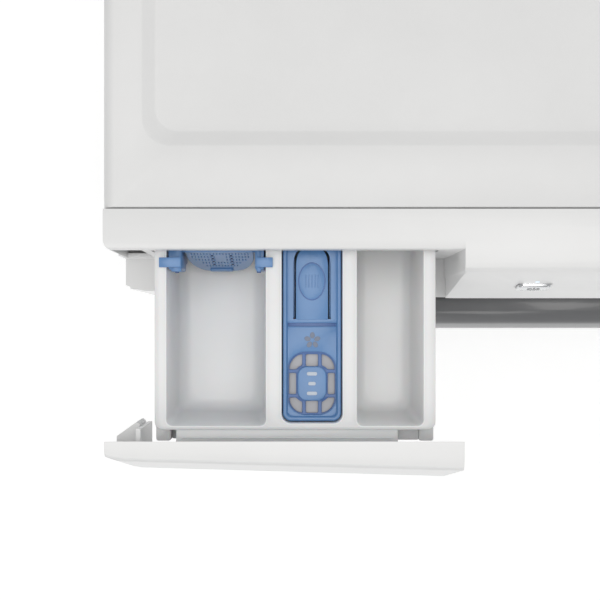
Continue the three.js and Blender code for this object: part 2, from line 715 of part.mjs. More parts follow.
function sumpHose() {
  const path = bent([[SUMP.x, SUMP.y, 193], [SUMP.x, SUMP.y, PUMP.z], [162, SUMP.y, PUMP.z]], 40);
  return swept(path, 25, 22.2, 9, 8);
}

function fillHose() {
  const path = bent(
    [[-200, INLET.y, 752], [-200, INLET.y, 716], [INLET.x, INLET.y, 682], [INLET.x, INLET.y, 652.5]], 10,
  );
  return swept(path, 18, 15, 12, 8);
}

// ---- drum ----

function drumShell() {
  const { radius, front, rear } = DRUM;
  const t = 1.5;
  return aroundDrum([
    [0, rear], [radius, rear], [radius, front], [170, front], [170, front + t],
    [radius - t, front + t], [radius - t, rear - t], [0, rear - t],
  ]);
}

function drumSpider() {
  const y = DRUM.rear + GAP;
  const hub = aroundDrum(
    [[0, y], [45, y], [45, 189.6], [15, 189.6], [15, 216], [12, 216], [12, 266], [0, 266]], 20,
  );
  const arms = [0, 1, 2].map((i) =>
    box(30, 230, y, y + 9, -16, 16)
      .rotateY((i * 2 * Math.PI) / 3 + 0.5)
      .translate(0, 0, DRUM.z),
  );
  return join(hub, ...arms);
}

function drumLifter(i) {
  const shape = polygon([[-29, 235], [-13, 194], [-6, 188], [6, 188], [13, 194], [29, 235]]);
  return prismY(shape, -128, 150)
    .rotateY((i * 2 * Math.PI) / 3)
    .translate(0, 0, DRUM.z);
}

function drumPulley() {
  const { drumR, y0, y1 } = PULLEY;
  const rim = aroundDrum([[drumR - 8, y0], [drumR, y0], [drumR, y1], [drumR - 8, y1]]);
  const hub = pipe(12.3, 26, 243, 264, "y", [0, 0, DRUM.z], 20);
  const spokes = [];
  for (let i = 0; i < 5; i++)
    spokes.push(
      box(24, drumR - 7, y0 + 3, y1 - 3, -7, 7)
        .rotateY((i * 2 * Math.PI) / 5)
        .translate(0, 0, DRUM.z),
    );
  return join(rim, hub, ...spokes);
}

const motorPulley = () =>
  turned(
    [[0, 212.4], [6, 212.4], [6, 243], [PULLEY.motorR, 243], [PULLEY.motorR, 265], [0, 265]],
    "y", [MOTOR.x, 0, MOTOR.z], 20,
  );

// ---- water ----

function drainPump() {
  const { x, z } = PUMP;
  const chamber = turned(
    [
      [27, -211], [38, -211], [38, -108], [46, -104], [46, -82], [34, -78], [30, -74], [30, -40],
      [0, -40], [0, -140], [27, -140],
    ],
    "y", [x, 0, z], 20,
  );
  const inlet = rod(20, 150 - x, -30, "x", [x, SUMP.y, z], 16);
  const outlet = rod(10, 30, 66, "z", [x, -93, z], 12);
  const feet = box(x - 18, x + 18, -200, -175, 48.3, 70);
  const bore = rod(27, -215, -140, "y", [x, 0, z], 20);
  const throat = rod(15, 148 - x, -10, "x", [x, SUMP.y, z], 12);
  const behindBore = rod(30, -300, -150, "y", [x, 0, z], 20);
  return cut(join(chamber, inlet, outlet, feet), bore, cut(throat, behindBore));
}

function filterCap() {
  const { x, z } = PUMP;
  const plug = turned(
    [[0, -215], [30, -215], [30, -211.4], [26, -211.4], [26, -165], [20, -165], [20, -205], [0, -205]],
    "y", [x, 0, z], 20,
  );
  return join(plug, box(x - 22, x + 22, at(12), -214.5, z - 4, z + 4));
}

function filterFlap() {
  const plate = box(138.6, 271.4, at(FRONT.face), at(FRONT.face - 2.4), 58.6, 136.4);
  return plate;
}

function inletValve() {
  const [x, z] = REAR_HOLES.inlet;
  const back = at(CABINET.rear) - SHEET - GAP;
  return join(
    box(x - 17, x + 17, 282, back, z - 15, z + 15),
    box(x - 13, x + 13, 286, 312, z - 48, z - 14),
    rod(12.5, back - 2, at(-REAR_REACH), "y", [x, 0, z], 16),
    rod(8, at(-228) + GAP, 283, "y", [x, 0, z + 4], 12),
  );
}

function drainOutlet() {
  const [x, z] = REAR_HOLES.drain;
  const path = bent(
    [
      [PUMP.x, -93, 163.4], [PUMP.x, -93, 182], [276, -60, 182], [276, 285, 182], [276, 285, z],
      [x, 285, z], [x, 334, z],
    ],
    16,
  );
  return swept(path, 11, 0, 44, 6);
}

function mainsGland() {
  const [x, z] = REAR_HOLES.mains;
  const y = at(CABINET.rear);
  return turned(
    [
      [5, y - 10], [8.8, y - 10], [8.8, y + GAP], [14, y + GAP], [14, y + 4], [9, y + 9], [5, y + 9],
    ],
    "y", [x, 0, z], 12,
  );
}

// ---- assembly ----

const machine = new THREE.Group();

function piece(name, geometry, color, metalness = 0, roughness = 0.5) {
  const material = new THREE.MeshStandardMaterial({ color, metalness, roughness });
  const mesh = new THREE.Mesh(join(geometry), material);
  mesh.name = name;
  machine.add(mesh);
}

const WHITE = 0xf1f2f2;
const STEEL = 0xb9bcbe;
const RUBBER = 0x4b4f52;

piece("base_frame", baseFrame(), 0x3a3d40);
piece("cabinet_shell", cabinetShell(), WHITE, 0.3);
piece("rear_service_cover", rearServiceCover(), 0xd9dbdb, 0.4);
piece("front_panel", frontPanel(), WHITE, 0.3);
piece("worktop", worktop(), WHITE);
piece("control_panel", controlPanel(), WHITE);
FEET.forEach((place, i) => piece(`foot_${i + 1}`, foot(place), 0x2c2e30));
piece("drain_pump", drainPump(), 0x7f858a);
piece("inlet_valve", inletValve(), 0x9aa0a4);
piece("fill_hose", fillHose(), RUBBER);
piece("dispenser_housing", dispenserHousing(), 0xd7dadb);
piece("drain_outlet", drainOutlet(), 0x8a8f93);
piece("mains_gland", mainsGland(), 0x222426);
piece("control_board", controlBoard(), 0x2f6b45);
piece("display_window", displayWindow(), 0x14181c, 0, 0.15);
piece("door_lock", doorLock(), 0x33373a);
piece("door_gasket", doorGasket(), 0x6d7174);
piece("hinge_bracket", hingeBracket(), STEEL, 0.8);
piece("damper_cylinder_left", damperCylinder(-1), 0x5d6266);
piece("damper_cylinder_right", damperCylinder(1), 0x5d6266);

piece("tub_front", tubFront(), 0xa9aeb1);
piece("tub_rear", tubRear(), 0xa9aeb1);
piece("counterweight_front", counterweightFront(), 0x8e8b85, 0, 0.9);
piece("counterweight_top", counterweightTop(), 0x8e8b85, 0, 0.9);
piece("motor", motor(), 0x55595d, 0.5);
piece("heater", heater(), STEEL, 0.8);
piece("bearing_front", bearingFront(), STEEL, 0.9);
piece("bearing_rear", bearingRear(), STEEL, 0.9);
piece("damper_rod_left", damperRod(-1), 0x2b2d2f);
piece("damper_rod_right", damperRod(1), 0x2b2d2f);
piece("spring_left", spring(-1), STEEL, 0.9);
piece("spring_right", spring(1), STEEL, 0.9);
piece("belt", belt(), 0x1d1e1f);
piece("sump_hose", sumpHose(), RUBBER);

piece("drum_shell", drumShell(), 0xc9cccf, 0.9, 0.3);
piece("drum_spider", drumSpider(), 0x9ba0a3, 0.8);
[0, 1, 2].forEach((i) => piece(`drum_lifter_${i + 1}`, drumLifter(i), 0xd4d7d9, 0.2));
piece("drum_pulley", drumPulley(), 0x9ba0a3, 0.8);
piece("motor_pulley", motorPulley(), STEEL, 0.9);

piece("door_frame", doorFrame(), 0x4c5054);
piece("door_rear_frame", doorRearFrame(), 0x3c4043);
piece("door_glass", doorGlass(), 0x9fb4bc, 0, 0.1);
piece("latch_hook", latchHook(), STEEL, 0.9);

piece("drawer_tray", drawerTray(), 0xe4e6e8);
piece("drawer_front", drawerFront(), WHITE);
piece("siphon_insert", siphonInsert(), 0x5b8fd6);
piece("release_tongue", releaseTongue(), 0x5b8fd6);
piece("flap_holder", flapHolder(), 0x5b8fd6);
piece("flap_plate", flapPlate(), 0x5b8fd6);

piece("filter_flap", filterFlap(), WHITE);
piece("filter_cap", filterCap(), 0x6f757a);
piece("programme_knob", programmeKnob(), 0xc5c8ca, 0.5);
BUTTONS.forEach((one) => piece(one.name, button(one), 0xc5c8ca));

export default machine;
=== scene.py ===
import json
import math

import bmesh
import bpy
from mathutils import Matrix, Vector
from mathutils.geometry import tessellate_polygon


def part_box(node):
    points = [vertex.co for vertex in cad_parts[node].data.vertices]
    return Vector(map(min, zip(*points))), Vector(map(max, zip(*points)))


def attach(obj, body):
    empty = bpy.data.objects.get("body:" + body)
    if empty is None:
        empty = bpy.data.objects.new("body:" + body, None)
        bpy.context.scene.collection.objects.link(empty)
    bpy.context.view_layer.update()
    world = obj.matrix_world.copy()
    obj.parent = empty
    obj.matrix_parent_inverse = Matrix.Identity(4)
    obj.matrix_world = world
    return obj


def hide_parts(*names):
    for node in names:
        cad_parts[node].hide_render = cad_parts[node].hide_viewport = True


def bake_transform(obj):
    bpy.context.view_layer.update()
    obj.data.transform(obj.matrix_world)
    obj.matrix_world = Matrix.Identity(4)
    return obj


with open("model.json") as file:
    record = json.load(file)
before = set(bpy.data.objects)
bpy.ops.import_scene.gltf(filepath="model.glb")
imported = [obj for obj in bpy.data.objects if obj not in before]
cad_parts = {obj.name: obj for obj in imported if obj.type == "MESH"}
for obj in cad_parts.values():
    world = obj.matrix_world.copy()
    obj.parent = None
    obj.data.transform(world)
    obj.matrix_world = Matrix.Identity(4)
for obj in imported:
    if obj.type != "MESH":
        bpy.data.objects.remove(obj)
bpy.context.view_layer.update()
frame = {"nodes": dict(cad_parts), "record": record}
MM = 0.001
TAU = math.tau
SCENE = bpy.context.scene


def corners(node):
    """A CAD node's lowest and highest corners, in millimetres."""
    low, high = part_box(node)
    return [v / MM for v in low], [v / MM for v in high]


TRAY_LOW, TRAY_HIGH = corners("drawer_tray")
TOP_LOW, TOP_HIGH = corners("worktop")
SEAM_Y = TOP_LOW[1]
NOTCH_Y = SEAM_Y - 20.3  # the notch's back wall, in front of the worktop's seam
HEIGHT = TOP_HIGH[2]
DRUM_Z = 440.0


def at(p):
    """Y of the plane p millimetres in front of the notch's back wall."""
    return NOTCH_Y - p


# ---- materials ----

def nodes_of(name):
    """A new material with its node tree and its shader."""
    mat = bpy.data.materials.new(name)
    mat.use_nodes = True
    tree = mat.node_tree
    shader = tree.nodes["Principled BSDF"]
    return mat, tree, shader


def add(tree, kind, **values):
    """A node with its named inputs set."""
    node = tree.nodes.new(kind)
    for key, value in values.items():
        node.inputs[key].default_value = value
    return node


def ramp(tree, source, low, high):
    """A colour that runs from low to high over the middle of the source's range."""
    node = tree.nodes.new("ShaderNodeValToRGB")
    for stop, position, color in zip(node.color_ramp.elements, (0.3, 0.7), (low, high)):
        stop.position = position
        stop.color = (*color, 1)
    tree.links.new(source, node.inputs[0])
    return node.outputs[0]


ROUGH_VARY = 0.12  # how far a surface's gloss strays either way, as a share


def surface(name, color, rough=0.4, metal=0.0, vary=0.04, mottle=18.0, grain=900.0, bump=0.05,
            depth=0.0004, stretch=(1, 1, 1), coat=0.0, **sockets):
    """A material with uneven colour, uneven gloss and a fine relief, all in object space."""
    mat, tree, shader = nodes_of(name)
    place = add(tree, "ShaderNodeTexCoord")
    mapped = add(tree, "ShaderNodeMapping")
    mapped.inputs["Scale"].default_value = stretch
    tree.links.new(place.outputs["Object"], mapped.inputs["Vector"])
    broad = add(tree, "ShaderNodeTexNoise", Scale=mottle, Detail=4.0, Roughness=0.6)
    fine = add(tree, "ShaderNodeTexNoise", Scale=grain, Detail=3.0, Roughness=0.55)
    for noise in (broad, fine):
        tree.links.new(mapped.outputs[0], noise.inputs["Vector"])
    low = tuple(max(0.0, c * (1 - vary)) for c in color)
    high = tuple(min(1.0, c * (1 + vary)) for c in color)
    tree.links.new(ramp(tree, broad.outputs["Fac"], low, high), shader.inputs["Base Color"])
    gloss = add(tree, "ShaderNodeMapRange")
    gloss.inputs["To Min"].default_value = rough * (1 - ROUGH_VARY)
    gloss.inputs["To Max"].default_value = rough * (1 + ROUGH_VARY)
    tree.links.new(fine.outputs["Fac"], gloss.inputs["Value"])
    tree.links.new(gloss.outputs[0], shader.inputs["Roughness"])
    relief = add(tree, "ShaderNodeBump", Strength=bump, Distance=depth)
    tree.links.new(fine.outputs["Fac"], relief.inputs["Height"])
    tree.links.new(relief.outputs[0], shader.inputs["Normal"])
    shader.inputs["Metallic"].default_value = metal
    shader.inputs["Coat Weight"].default_value = coat
    for key, value in sockets.items():
        shader.inputs[key.replace("_", " ")].default_value = value
    return mat


ENAMEL = surface("enamel_white", (0.79, 0.79, 0.79), 0.32, vary=0.012, grain=420, bump=0.10, coat=0.25)
WHITE = surface("moulding_white", (0.745, 0.745, 0.745), 0.36, vary=0.015, grain=1600, bump=0.10)
TOP = surface("worktop_white", (0.70, 0.70, 0.70), 0.42, vary=0.02, grain=2600, bump=0.22)
TRAY = surface("tray_grey", (0.73, 0.735, 0.74), 0.33, vary=0.025, grain=1500, bump=0.08,
               Subsurface_Weight=0.10, Subsurface_Scale=0.004)
# a lighter copy of the tray's grey for the compartments: painted light that lifts the shade inside them
WELL_BRIGHTENED = surface("tray_well_painted_light", (0.84, 0.845, 0.85), 0.33, vary=0.02, grain=1500, bump=0.06,
               Subsurface_Weight=0.10, Subsurface_Scale=0.004)
BLUE = surface("blue_clear", (0.106, 0.246, 0.50), 0.30, vary=0.06, mottle=60, grain=1300, bump=0.05,
               Transmission_Weight=0.12, IOR=1.49, coat=0.15)
# a darker copy of the insert's blue: painted shade for its groove, its ring of windows, the pad's outline and
# the bracket's bosses
BLUE_SHADED = surface("blue_painted_shade", (0.05, 0.125, 0.33), 0.32, vary=0.08, mottle=60, grain=1300, bump=0.05)
BLUE_DARK = surface("blue_shadow", (0.008, 0.03, 0.10), 0.4, vary=0.1)
# a grey darker than the tray's: painted shade for the tray seen through the insert's windows
LEDGE_SHADED = surface("ledge_painted_shade", (0.42, 0.42, 0.44), 0.4, vary=0.04)
MARK_PALE = surface("print_pale", (0.50, 0.55, 0.62), 0.5, vary=0.05)
MARK_DIM = surface("print_dim", (0.17, 0.20, 0.27), 0.5, vary=0.08)
DARK = surface("door_dark", (0.13, 0.132, 0.136), 0.30, vary=0.08, grain=1100, bump=0.08, coat=0.3)
BLACK = surface("moulding_black", (0.02, 0.021, 0.023), 0.45, vary=0.12, grain=900, bump=0.15)
GREY = surface("moulding_grey", (0.22, 0.23, 0.24), 0.45, vary=0.06, grain=1200, bump=0.12)
TUB = surface("tub_filled", (0.42, 0.43, 0.45), 0.5, vary=0.08, mottle=30, grain=700, bump=0.2)
RUBBER = surface("rubber_black", (0.025, 0.026, 0.028), 0.6, vary=0.2, grain=1500, bump=0.2)
SEAL = surface("rubber_grey", (0.21, 0.215, 0.225), 0.5, vary=0.06, grain=1400, bump=0.15)
ZINC = surface("zinc_sheet", (0.60, 0.61, 0.62), 0.34, 0.9, vary=0.10, mottle=45, grain=300, bump=0.1)
STEEL = surface("drum_steel", (0.80, 0.81, 0.82), 0.30, 0.75, vary=0.05, mottle=12, grain=260, bump=0.06,
                stretch=(1, 0.04, 1))
ALLOY = surface("cast_alloy", (0.50, 0.51, 0.52), 0.45, 0.85, vary=0.10, mottle=80, grain=650, bump=0.35)
CONCRETE = surface("cast_concrete", (0.36, 0.345, 0.32), 0.9, vary=0.25, mottle=40, grain=350, bump=0.8,
                   depth=0.0012)
BOARD = surface("circuit_board", (0.02, 0.16, 0.06), 0.35, vary=0.15, mottle=120)
TRIM = surface("satin_trim", (0.62, 0.63, 0.64), 0.22, 1.0, vary=0.03, grain=1800, bump=0.08)
WINDOW = surface("display_black", (0.006, 0.007, 0.009), 0.12, vary=0.2, coat=0.8, bump=0.0)
MARK = surface("print_grey", (0.16, 0.17, 0.18), 0.5, vary=0.05)
LIT = surface("display_light", (0.70, 0.85, 1.0), 0.3, vary=0.02, Emission_Strength=0.8,
              Emission_Color=(0.6, 0.8, 1.0, 1.0))
VOID = surface("deep_shadow", (0.01, 0.01, 0.011), 0.9, vary=0.2)


def clear_glass():
    """The door's glass: clear, with a slight ripple and smears in its gloss."""
    mat, tree, shader = nodes_of("door_glass_clear")
    shader.inputs["Base Color"].default_value = (0.93, 0.96, 0.97, 1)
    shader.inputs["Transmission Weight"].default_value = 0.95
    shader.inputs["IOR"].default_value = 1.47
    place = add(tree, "ShaderNodeTexCoord")
    smear = add(tree, "ShaderNodeTexNoise", Scale=14.0, Detail=5.0)
    tree.links.new(place.outputs["Object"], smear.inputs["Vector"])
    gloss = add(tree, "ShaderNodeMapRange")
    gloss.inputs["To Min"].default_value = 0.01
    gloss.inputs["To Max"].default_value = 0.06
    tree.links.new(smear.outputs["Fac"], gloss.inputs["Value"])
    tree.links.new(gloss.outputs[0], shader.inputs["Roughness"])
    ripple = add(tree, "ShaderNodeBump", Strength=0.05, Distance=0.001)
    tree.links.new(smear.outputs["Fac"], ripple.inputs["Height"])
    tree.links.new(ripple.outputs[0], shader.inputs["Normal"])
    return mat


GLASS = clear_glass()

# ---- mesh building, in millimetres ----

def piece(name, verts, faces, mat, angle=32):
    """An object from points and faces."""
    data = bpy.data.meshes.new(name)
    data.from_pydata([(x * MM, y * MM, z * MM) for x, y, z in verts], [], faces)
    obj = bpy.data.objects.new(name, data)
    SCENE.collection.objects.link(obj)
    data.materials.append(mat)
    tidy(obj, angle)
    return obj


def tidy(obj, angle=32):
    """Welds the points that meet and turns every face outwards."""
    bm = bmesh.new()
    bm.from_mesh(obj.data)
    bmesh.ops.remove_doubles(bm, verts=bm.verts, dist=1e-6)
    bmesh.ops.recalc_face_normals(bm, faces=bm.faces)
    bm.to_mesh(obj.data)
    bm.free()
    shade(obj, angle)


def shade(obj, angle=32):
    """Smooth, but for edges sharper than the angle."""
    for poly in obj.data.polygons:
        poly.use_smooth = True
    obj.data.set_sharp_from_angle(angle=math.radians(angle))


def baked(obj, angle=32):
    """Applies the object's modifiers; with no angle the shading stays as they leave it."""
    graph = bpy.context.evaluated_depsgraph_get()
    graph.update()
    data = bpy.data.meshes.new_from_object(obj.evaluated_get(graph))
    old = obj.data
    obj.modifiers.clear()
    obj.data = data
    bpy.data.meshes.remove(old)
    if angle is not None:
        shade(obj, angle)
    return obj


def bevelled(obj, width, segments=2, limit=30, angle=50):
    """Rounds the edges sharper than the limit."""
    shade(obj, angle)
    mod = obj.modifiers.new("edge", "BEVEL")
    mod.width = width * MM
    mod.segments = segments
    mod.limit_method = "ANGLE"
    mod.angle_limit = math.radians(limit)
    mod.use_clamp_overlap = True
    even = obj.modifiers.new("even", "WEIGHTED_NORMAL")
    even.weight = 50
    even.keep_sharp = True
    return baked(obj, None)


def carved(obj, *cutters, angle=32):
    """Cuts the cutters away, and removes them."""
    for cutter in cutters:
        mod = obj.modifiers.new("cut", "BOOLEAN")
        mod.object = cutter
        mod.operation = "DIFFERENCE"
        mod.solver = "EXACT"
    baked(obj, angle)
    for cutter in cutters:
        bpy.data.objects.remove(cutter, do_unlink=True)
    return obj


def merged(name, *objs):
    """One object from several, keeping each one's materials."""
    mats, verts, faces, slots = [], [], [], []
    for obj in objs:
        base = len(verts)
        verts += [tuple(v.co) for v in obj.data.vertices]
        for mat in obj.data.materials:
            if mat not in mats:
                mats.append(mat)
        for poly in obj.data.polygons:
            faces.append([base + i for i in poly.vertices])
            slots.append(mats.index(obj.data.materials[poly.material_index]))
    data = bpy.data.meshes.new(name)
    data.from_pydata(verts, [], faces)
    for mat in mats:
        data.materials.append(mat)
    for poly, slot in zip(data.polygons, slots):
        poly.material_index = slot
    for obj in objs:
        bpy.data.objects.remove(obj, do_unlink=True)
    made = bpy.data.objects.new(name, data)
    SCENE.collection.objects.link(made)
    shade(made, 40)
    return made


def stack(name, loops, mat, caps=(True, True), angle=32):
    """A skin over loops of points that all have the same count, capped at the first and last as asked."""
    count = len(loops[0])
    verts = [v for loop in loops for v in loop]
    faces = []
    for a in range(len(loops) - 1):
        for i in range(count):
            j = (i + 1) % count
            faces.append((a * count + i, a * count + j, (a + 1) * count + j, (a + 1) * count + i))
    if caps[0]:
        faces.append(tuple(range(count))[::-1])
    if caps[1]:
        faces.append(tuple(range((len(loops) - 1) * count, len(loops) * count)))
    return piece(name, verts, faces, mat, angle)


def rounded(x0, x1, y0, y1, r, n=6):
    """A rounded rectangle's outline; r is one radius, or one for each corner from (x1, y0) on."""
    radii = r if isinstance(r, (list, tuple)) else [r] * 4
    out = []
    for (cx, cy, sx, sy), radius, turn in zip(
        ((x1, y0, -1, 1), (x1, y1, -1, -1), (x0, y1, 1, -1), (x0, y0, 1, 1)), radii, (-0.25, 0, 0.25, 0.5)
    ):
        for i in range(n + 1):
            a = TAU * (turn + 0.25 * i / n)
            out.append((cx + sx * radius + radius * math.cos(a), cy + sy * radius + radius * math.sin(a)))
    return out


def slab(name, outline, z0, z1, mat, edge=0.0):
    """An outline in X and Y made solid from z0 to z1."""
    obj = stack(name, [[(x, y, z) for x, y in outline] for z in (z0, z1)], mat)
    return bevelled(obj, edge) if edge else obj


def block(name, x0, x1, y0, y1, z0, z1, mat, r=0.0, edge=0.0):
    """A box with r on its upright edges and a bevel of edge all round."""
    (x0, x1), (y0, y1) = sorted((x0, x1)), sorted((y0, y1))
    outline = rounded(x0, x1, y0, y1, r) if r else [(x1, y0), (x1, y1), (x0, y1), (x0, y0)]
    return slab(name, outline, min(z0, z1), max(z0, z1), mat, edge)


def turned(name, profile, mat, centre=(0, 0), sides=96, shut=False, angle=32):
    """A lathe about a line along Y at centre (X, Z), with a profile of (radius, Y); shut joins its ends."""
    verts = []
    for k in range(sides):
        a = TAU * k / sides
        verts += [(centre[0] + r * math.cos(a), y, centre[1] + r * math.sin(a)) for r, y in profile]
    count = len(profile)
    steps = count if shut else count - 1
    faces = []
    for k in range(sides):
        n = (k + 1) % sides
        for i in range(steps):
            j = (i + 1) % count
            faces.append((k * count + i, k * count + j, n * count + j, n * count + i))
    return piece(name, verts, faces, mat, angle)


def eased(profile, r=0.8, n=3, closed=True):
    """A profile with its corners rounded off."""
    out, count = [], len(profile)
    for i, point in enumerate(profile):
        if not closed and i in (0, count - 1):
            out.append(point)
            continue
        here = Vector(point)
        before, after = Vector(profile[i - 1]), Vector(profile[(i + 1) % count])
        size = min(r, (before - here).length * 0.4, (after - here).length * 0.4)
        start = here + (before - here).normalized() * size
        end = here + (after - here).normalized() * size
        for k in range(n + 1):
            t = k / n
            out.append(tuple(start.lerp(here, t).lerp(here.lerp(end, t), t)))
    return out


def tube(name, points, radius, mat, sides=12):
    """A round tube through points, with a radius for all or one for each."""
    pts = [Vector(p) for p in points]
    radii = radius if isinstance(radius, (list, tuple)) else [radius] * len(pts)
    loops, normal = [], None
    for i, p in enumerate(pts):
        ahead = pts[i + 1] if i + 1 < len(pts) else p
        behind = pts[i - 1] if i else p
        along = (ahead - behind).normalized()
        if normal is None:
            normal = along.orthogonal().normalized()
        normal = (normal - along * normal.dot(along)).normalized()
        side = along.cross(normal)
        loops.append([
            tuple(p + (normal * math.cos(TAU * k / sides) + side * math.sin(TAU * k / sides)) * radii[i])
            for k in range(sides)
        ])
    return stack(name, loops, mat, angle=40)


def softened(node, mat, width=0.5, segments=2, limit=35, name=None):
    """A copy of a CAD node with its edges broken, which stands for it."""
    obj = bpy.data.objects.new(name or node + "_shown", frame["nodes"][node].data.copy())
    SCENE.collection.objects.link(obj)
    obj.data.materials.clear()
    obj.data.materials.append(mat)
    bm = bmesh.new()
    bm.from_mesh(obj.data)
    bmesh.ops.remove_doubles(bm, verts=bm.verts, dist=2e-6)
    bmesh.ops.dissolve_limit(bm, angle_limit=math.radians(0.5), verts=bm.verts, edges=bm.edges)
    bm.to_mesh(obj.data)
    bm.free()
    if width:
        bevelled(obj, width, segments, limit)
    else:
        shade(obj, 40)
    return obj


BODY_OF = {n: b for b, names in frame["record"]["behaviour"]["bodies"].items() for n in names}
SLOT_OF = {s["node"]: s["material_slot"] for s in frame["record"]["subparts"]}


def stands_for(obj, node):
    """Puts a piece in a CAD node's place, on its body, and hides the node."""
    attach(obj, BODY_OF[node])
    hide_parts(node)


def detail(obj, body):
    """Puts on a body a piece that no CAD node has."""
    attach(obj, body)


# ---- CAD pieces shown with their edges broken ----

FINISH = {
    "white_metal": (ENAMEL, 0.6), "white_plastic": (WHITE, 0.5), "dark_moulding": (BLACK, 0.6),
    "zinc_steel": (ZINC, 0.3), "drum_steel": (STEEL, 0.4), "cast_alloy": (ALLOY, 0.8),
    "copper_motor": (ALLOY, 0.8), "tub_plastic": (TUB, 0.8), "concrete": (CONCRETE, 1.5),
    "hose_rubber": (RUBBER, 0.3), "gasket_rubber": (SEAL, 0.4), "door_plastic": (DARK, 0.5),
    "door_glass": (GLASS, 0.4), "tray_plastic": (TRAY, 0.5), "blue_plastic": (BLUE, 0.4),
    "grey_plastic": (GREY, 0.6), "window_plastic": (WINDOW, 0.4), "board": (BOARD, 0.2),
    "trim_metal": (TRIM, 0.4),
}
BUILT = set()  # the CAD nodes that a piece modelled here stands for


def plain_pieces():
    """Every CAD node that no piece modelled here stands for."""
    for node, name in SLOT_OF.items():
        if node not in BUILT:
            mat, width = FINISH[name]
            stands_for(softened(node, mat, width), node)


def hero(node):
    """Notes that a piece modelled here stands for the node."""
    BUILT.add(node)
    return node


def plate(name, outlines, z0, z1, mat, edge=0.3, rounds=2):
    """A flat piece between two heights, with holes wherever an outline lies in another."""
    data = bpy.data.curves.new(name, "CURVE")
    data.dimensions = "2D"
    data.fill_mode = "BOTH"
    data.extrude = ((z1 - z0) / 2 - edge) * MM
    data.bevel_depth = edge * MM
    data.bevel_resolution = rounds - 1
    for outline in outlines:
        spline = data.splines.new("POLY")
        spline.points.add(len(outline) - 1)
        for point, (x, y) in zip(spline.points, outline):
            point.co = (x * MM, y * MM, 0, 1)
        spline.use_cyclic_u = True
    curve = bpy.data.objects.new(name, data)
    SCENE.collection.objects.link(curve)
    graph = bpy.context.evaluated_depsgraph_get()
    graph.update()
    mesh = bpy.data.meshes.new_from_object(curve.evaluated_get(graph))
    bpy.data.objects.remove(curve, do_unlink=True)
    mesh.materials.clear()
    mesh.materials.append(mat)
    mesh.transform(Matrix.Translation((0, 0, (z0 + z1) / 2 * MM)))
    obj = bpy.data.objects.new(name, mesh)
    SCENE.collection.objects.link(obj)
    tidy(obj, 40)
    return obj


def mirrored(points, x):
    """Points and their reflection in the line at x."""
    return points + [(2 * x - px, py) for px, py in reversed(points)]


def oval(cx, cy, rx, ry, n=40):
    """An ellipse's outline."""
    return [(cx + rx * math.cos(TAU * k / n), cy + ry * math.sin(TAU * k / n)) for k in range(n)]


# ---- detergent drawer ----

RIM = TRAY_HIGH[2]
INSERT_LOW, INSERT_HIGH = corners("siphon_insert")
INSERT_X = (INSERT_LOW[0] + INSERT_HIGH[0]) / 2
WELLS = (  # left, right, front and floor of each compartment, its corners' radius and its floor's
    (-269.7, -219.6, 88.5, 775.0, 3.0, 7.0), (-211.45, -180.65, 87.25, 772.0, 4.6, 4.0),
    (-173.3, -139.8, 88.5, 780.0, 3.0, 6.0),
)
WELL_REAR = -118.0
SHELF_Z = 831.0  # the underside of the tray's rim


def well_loops(x0, x1, front, floor, corner, r):
    """A compartment's walls, from its rim down over its rounded floor."""
    def loop(z, inset, draft, round_off):
        ys = at(front - inset - draft), at(WELL_REAR + inset + draft * 0.7)
        return [(x, y, z) for x, y in rounded(x0 + inset, x1 - inset, *ys, round_off, 5)]
    loops = [loop(RIM, -0.7, 0, corner + 0.6), loop(RIM - 0.25, -0.2, 0, corner + 0.2),
             loop(RIM - 0.9, 0, 0, corner)]
    for k in range(1, 5):
        t = k / 4
        loops.append(loop(RIM - 0.9 - (RIM - 0.9 - floor - r) * t, 1.6 * t, 2.2 * t, corner + 2 * t))
    for k in range(1, 6):
        a = TAU / 4 * k / 5
        inset = 1.6 + r * (1 - math.cos(a))
        loops.append(loop(floor + r - r * math.sin(a), inset, 2.2, corner + 2 + 0.6 * k))
    return loops


def tray_body():
    """The tray: an outer skin, its three compartments and the flat rim between them."""
    left, right = TRAY_LOW[0] + 0.2, TRAY_HIGH[0]
    rear, front = TRAY_HIGH[1], at(90.7)
    bottom = TRAY_LOW[2]
    def loop(z, sides, ahead, behind, front_r, rear_r):
        return [(x, y, z) for x, y in rounded(left + sides, right - sides, front + ahead, rear - behind,
                                              [front_r, rear_r, rear_r, front_r], 5)]
    outer = [loop(RIM, 0.6, 0.6, 0.6, 3.4, 2), loop(RIM - 0.2, 0.2, 0.2, 0.2, 3.8, 2),
             loop(RIM - 0.8, 0, 0, 0, 4, 2), loop(SHELF_Z + 0.4, 0, 0, 0, 4, 2),
             loop(SHELF_Z, 4.1, 0.3, 0, 4, 2), loop(bottom + 3, 4.1, 0.3, 0, 4, 2),
             loop(bottom, 7, 3, 3, 4, 4)]
    parts = [stack("tray_skin", outer, TRAY, (False, True))]
    loops = [outer[0]]
    for well in WELLS:
        rings = well_loops(*well)
        # the compartments take the lighter copy of the tray's grey: painted light against their shade
        parts.append(stack("well", rings, WELL_BRIGHTENED, (False, True)))
        loops.append(rings[0])
    faces = tessellate_polygon([[Vector(p) for p in loop] for loop in loops])
    verts = [p for loop in loops for p in loop]
    parts.append(piece("rim", verts, [tuple(f) for f in faces], TRAY))
    body = merged("tray_body", *parts)
    tidy(body, 38)
    return body


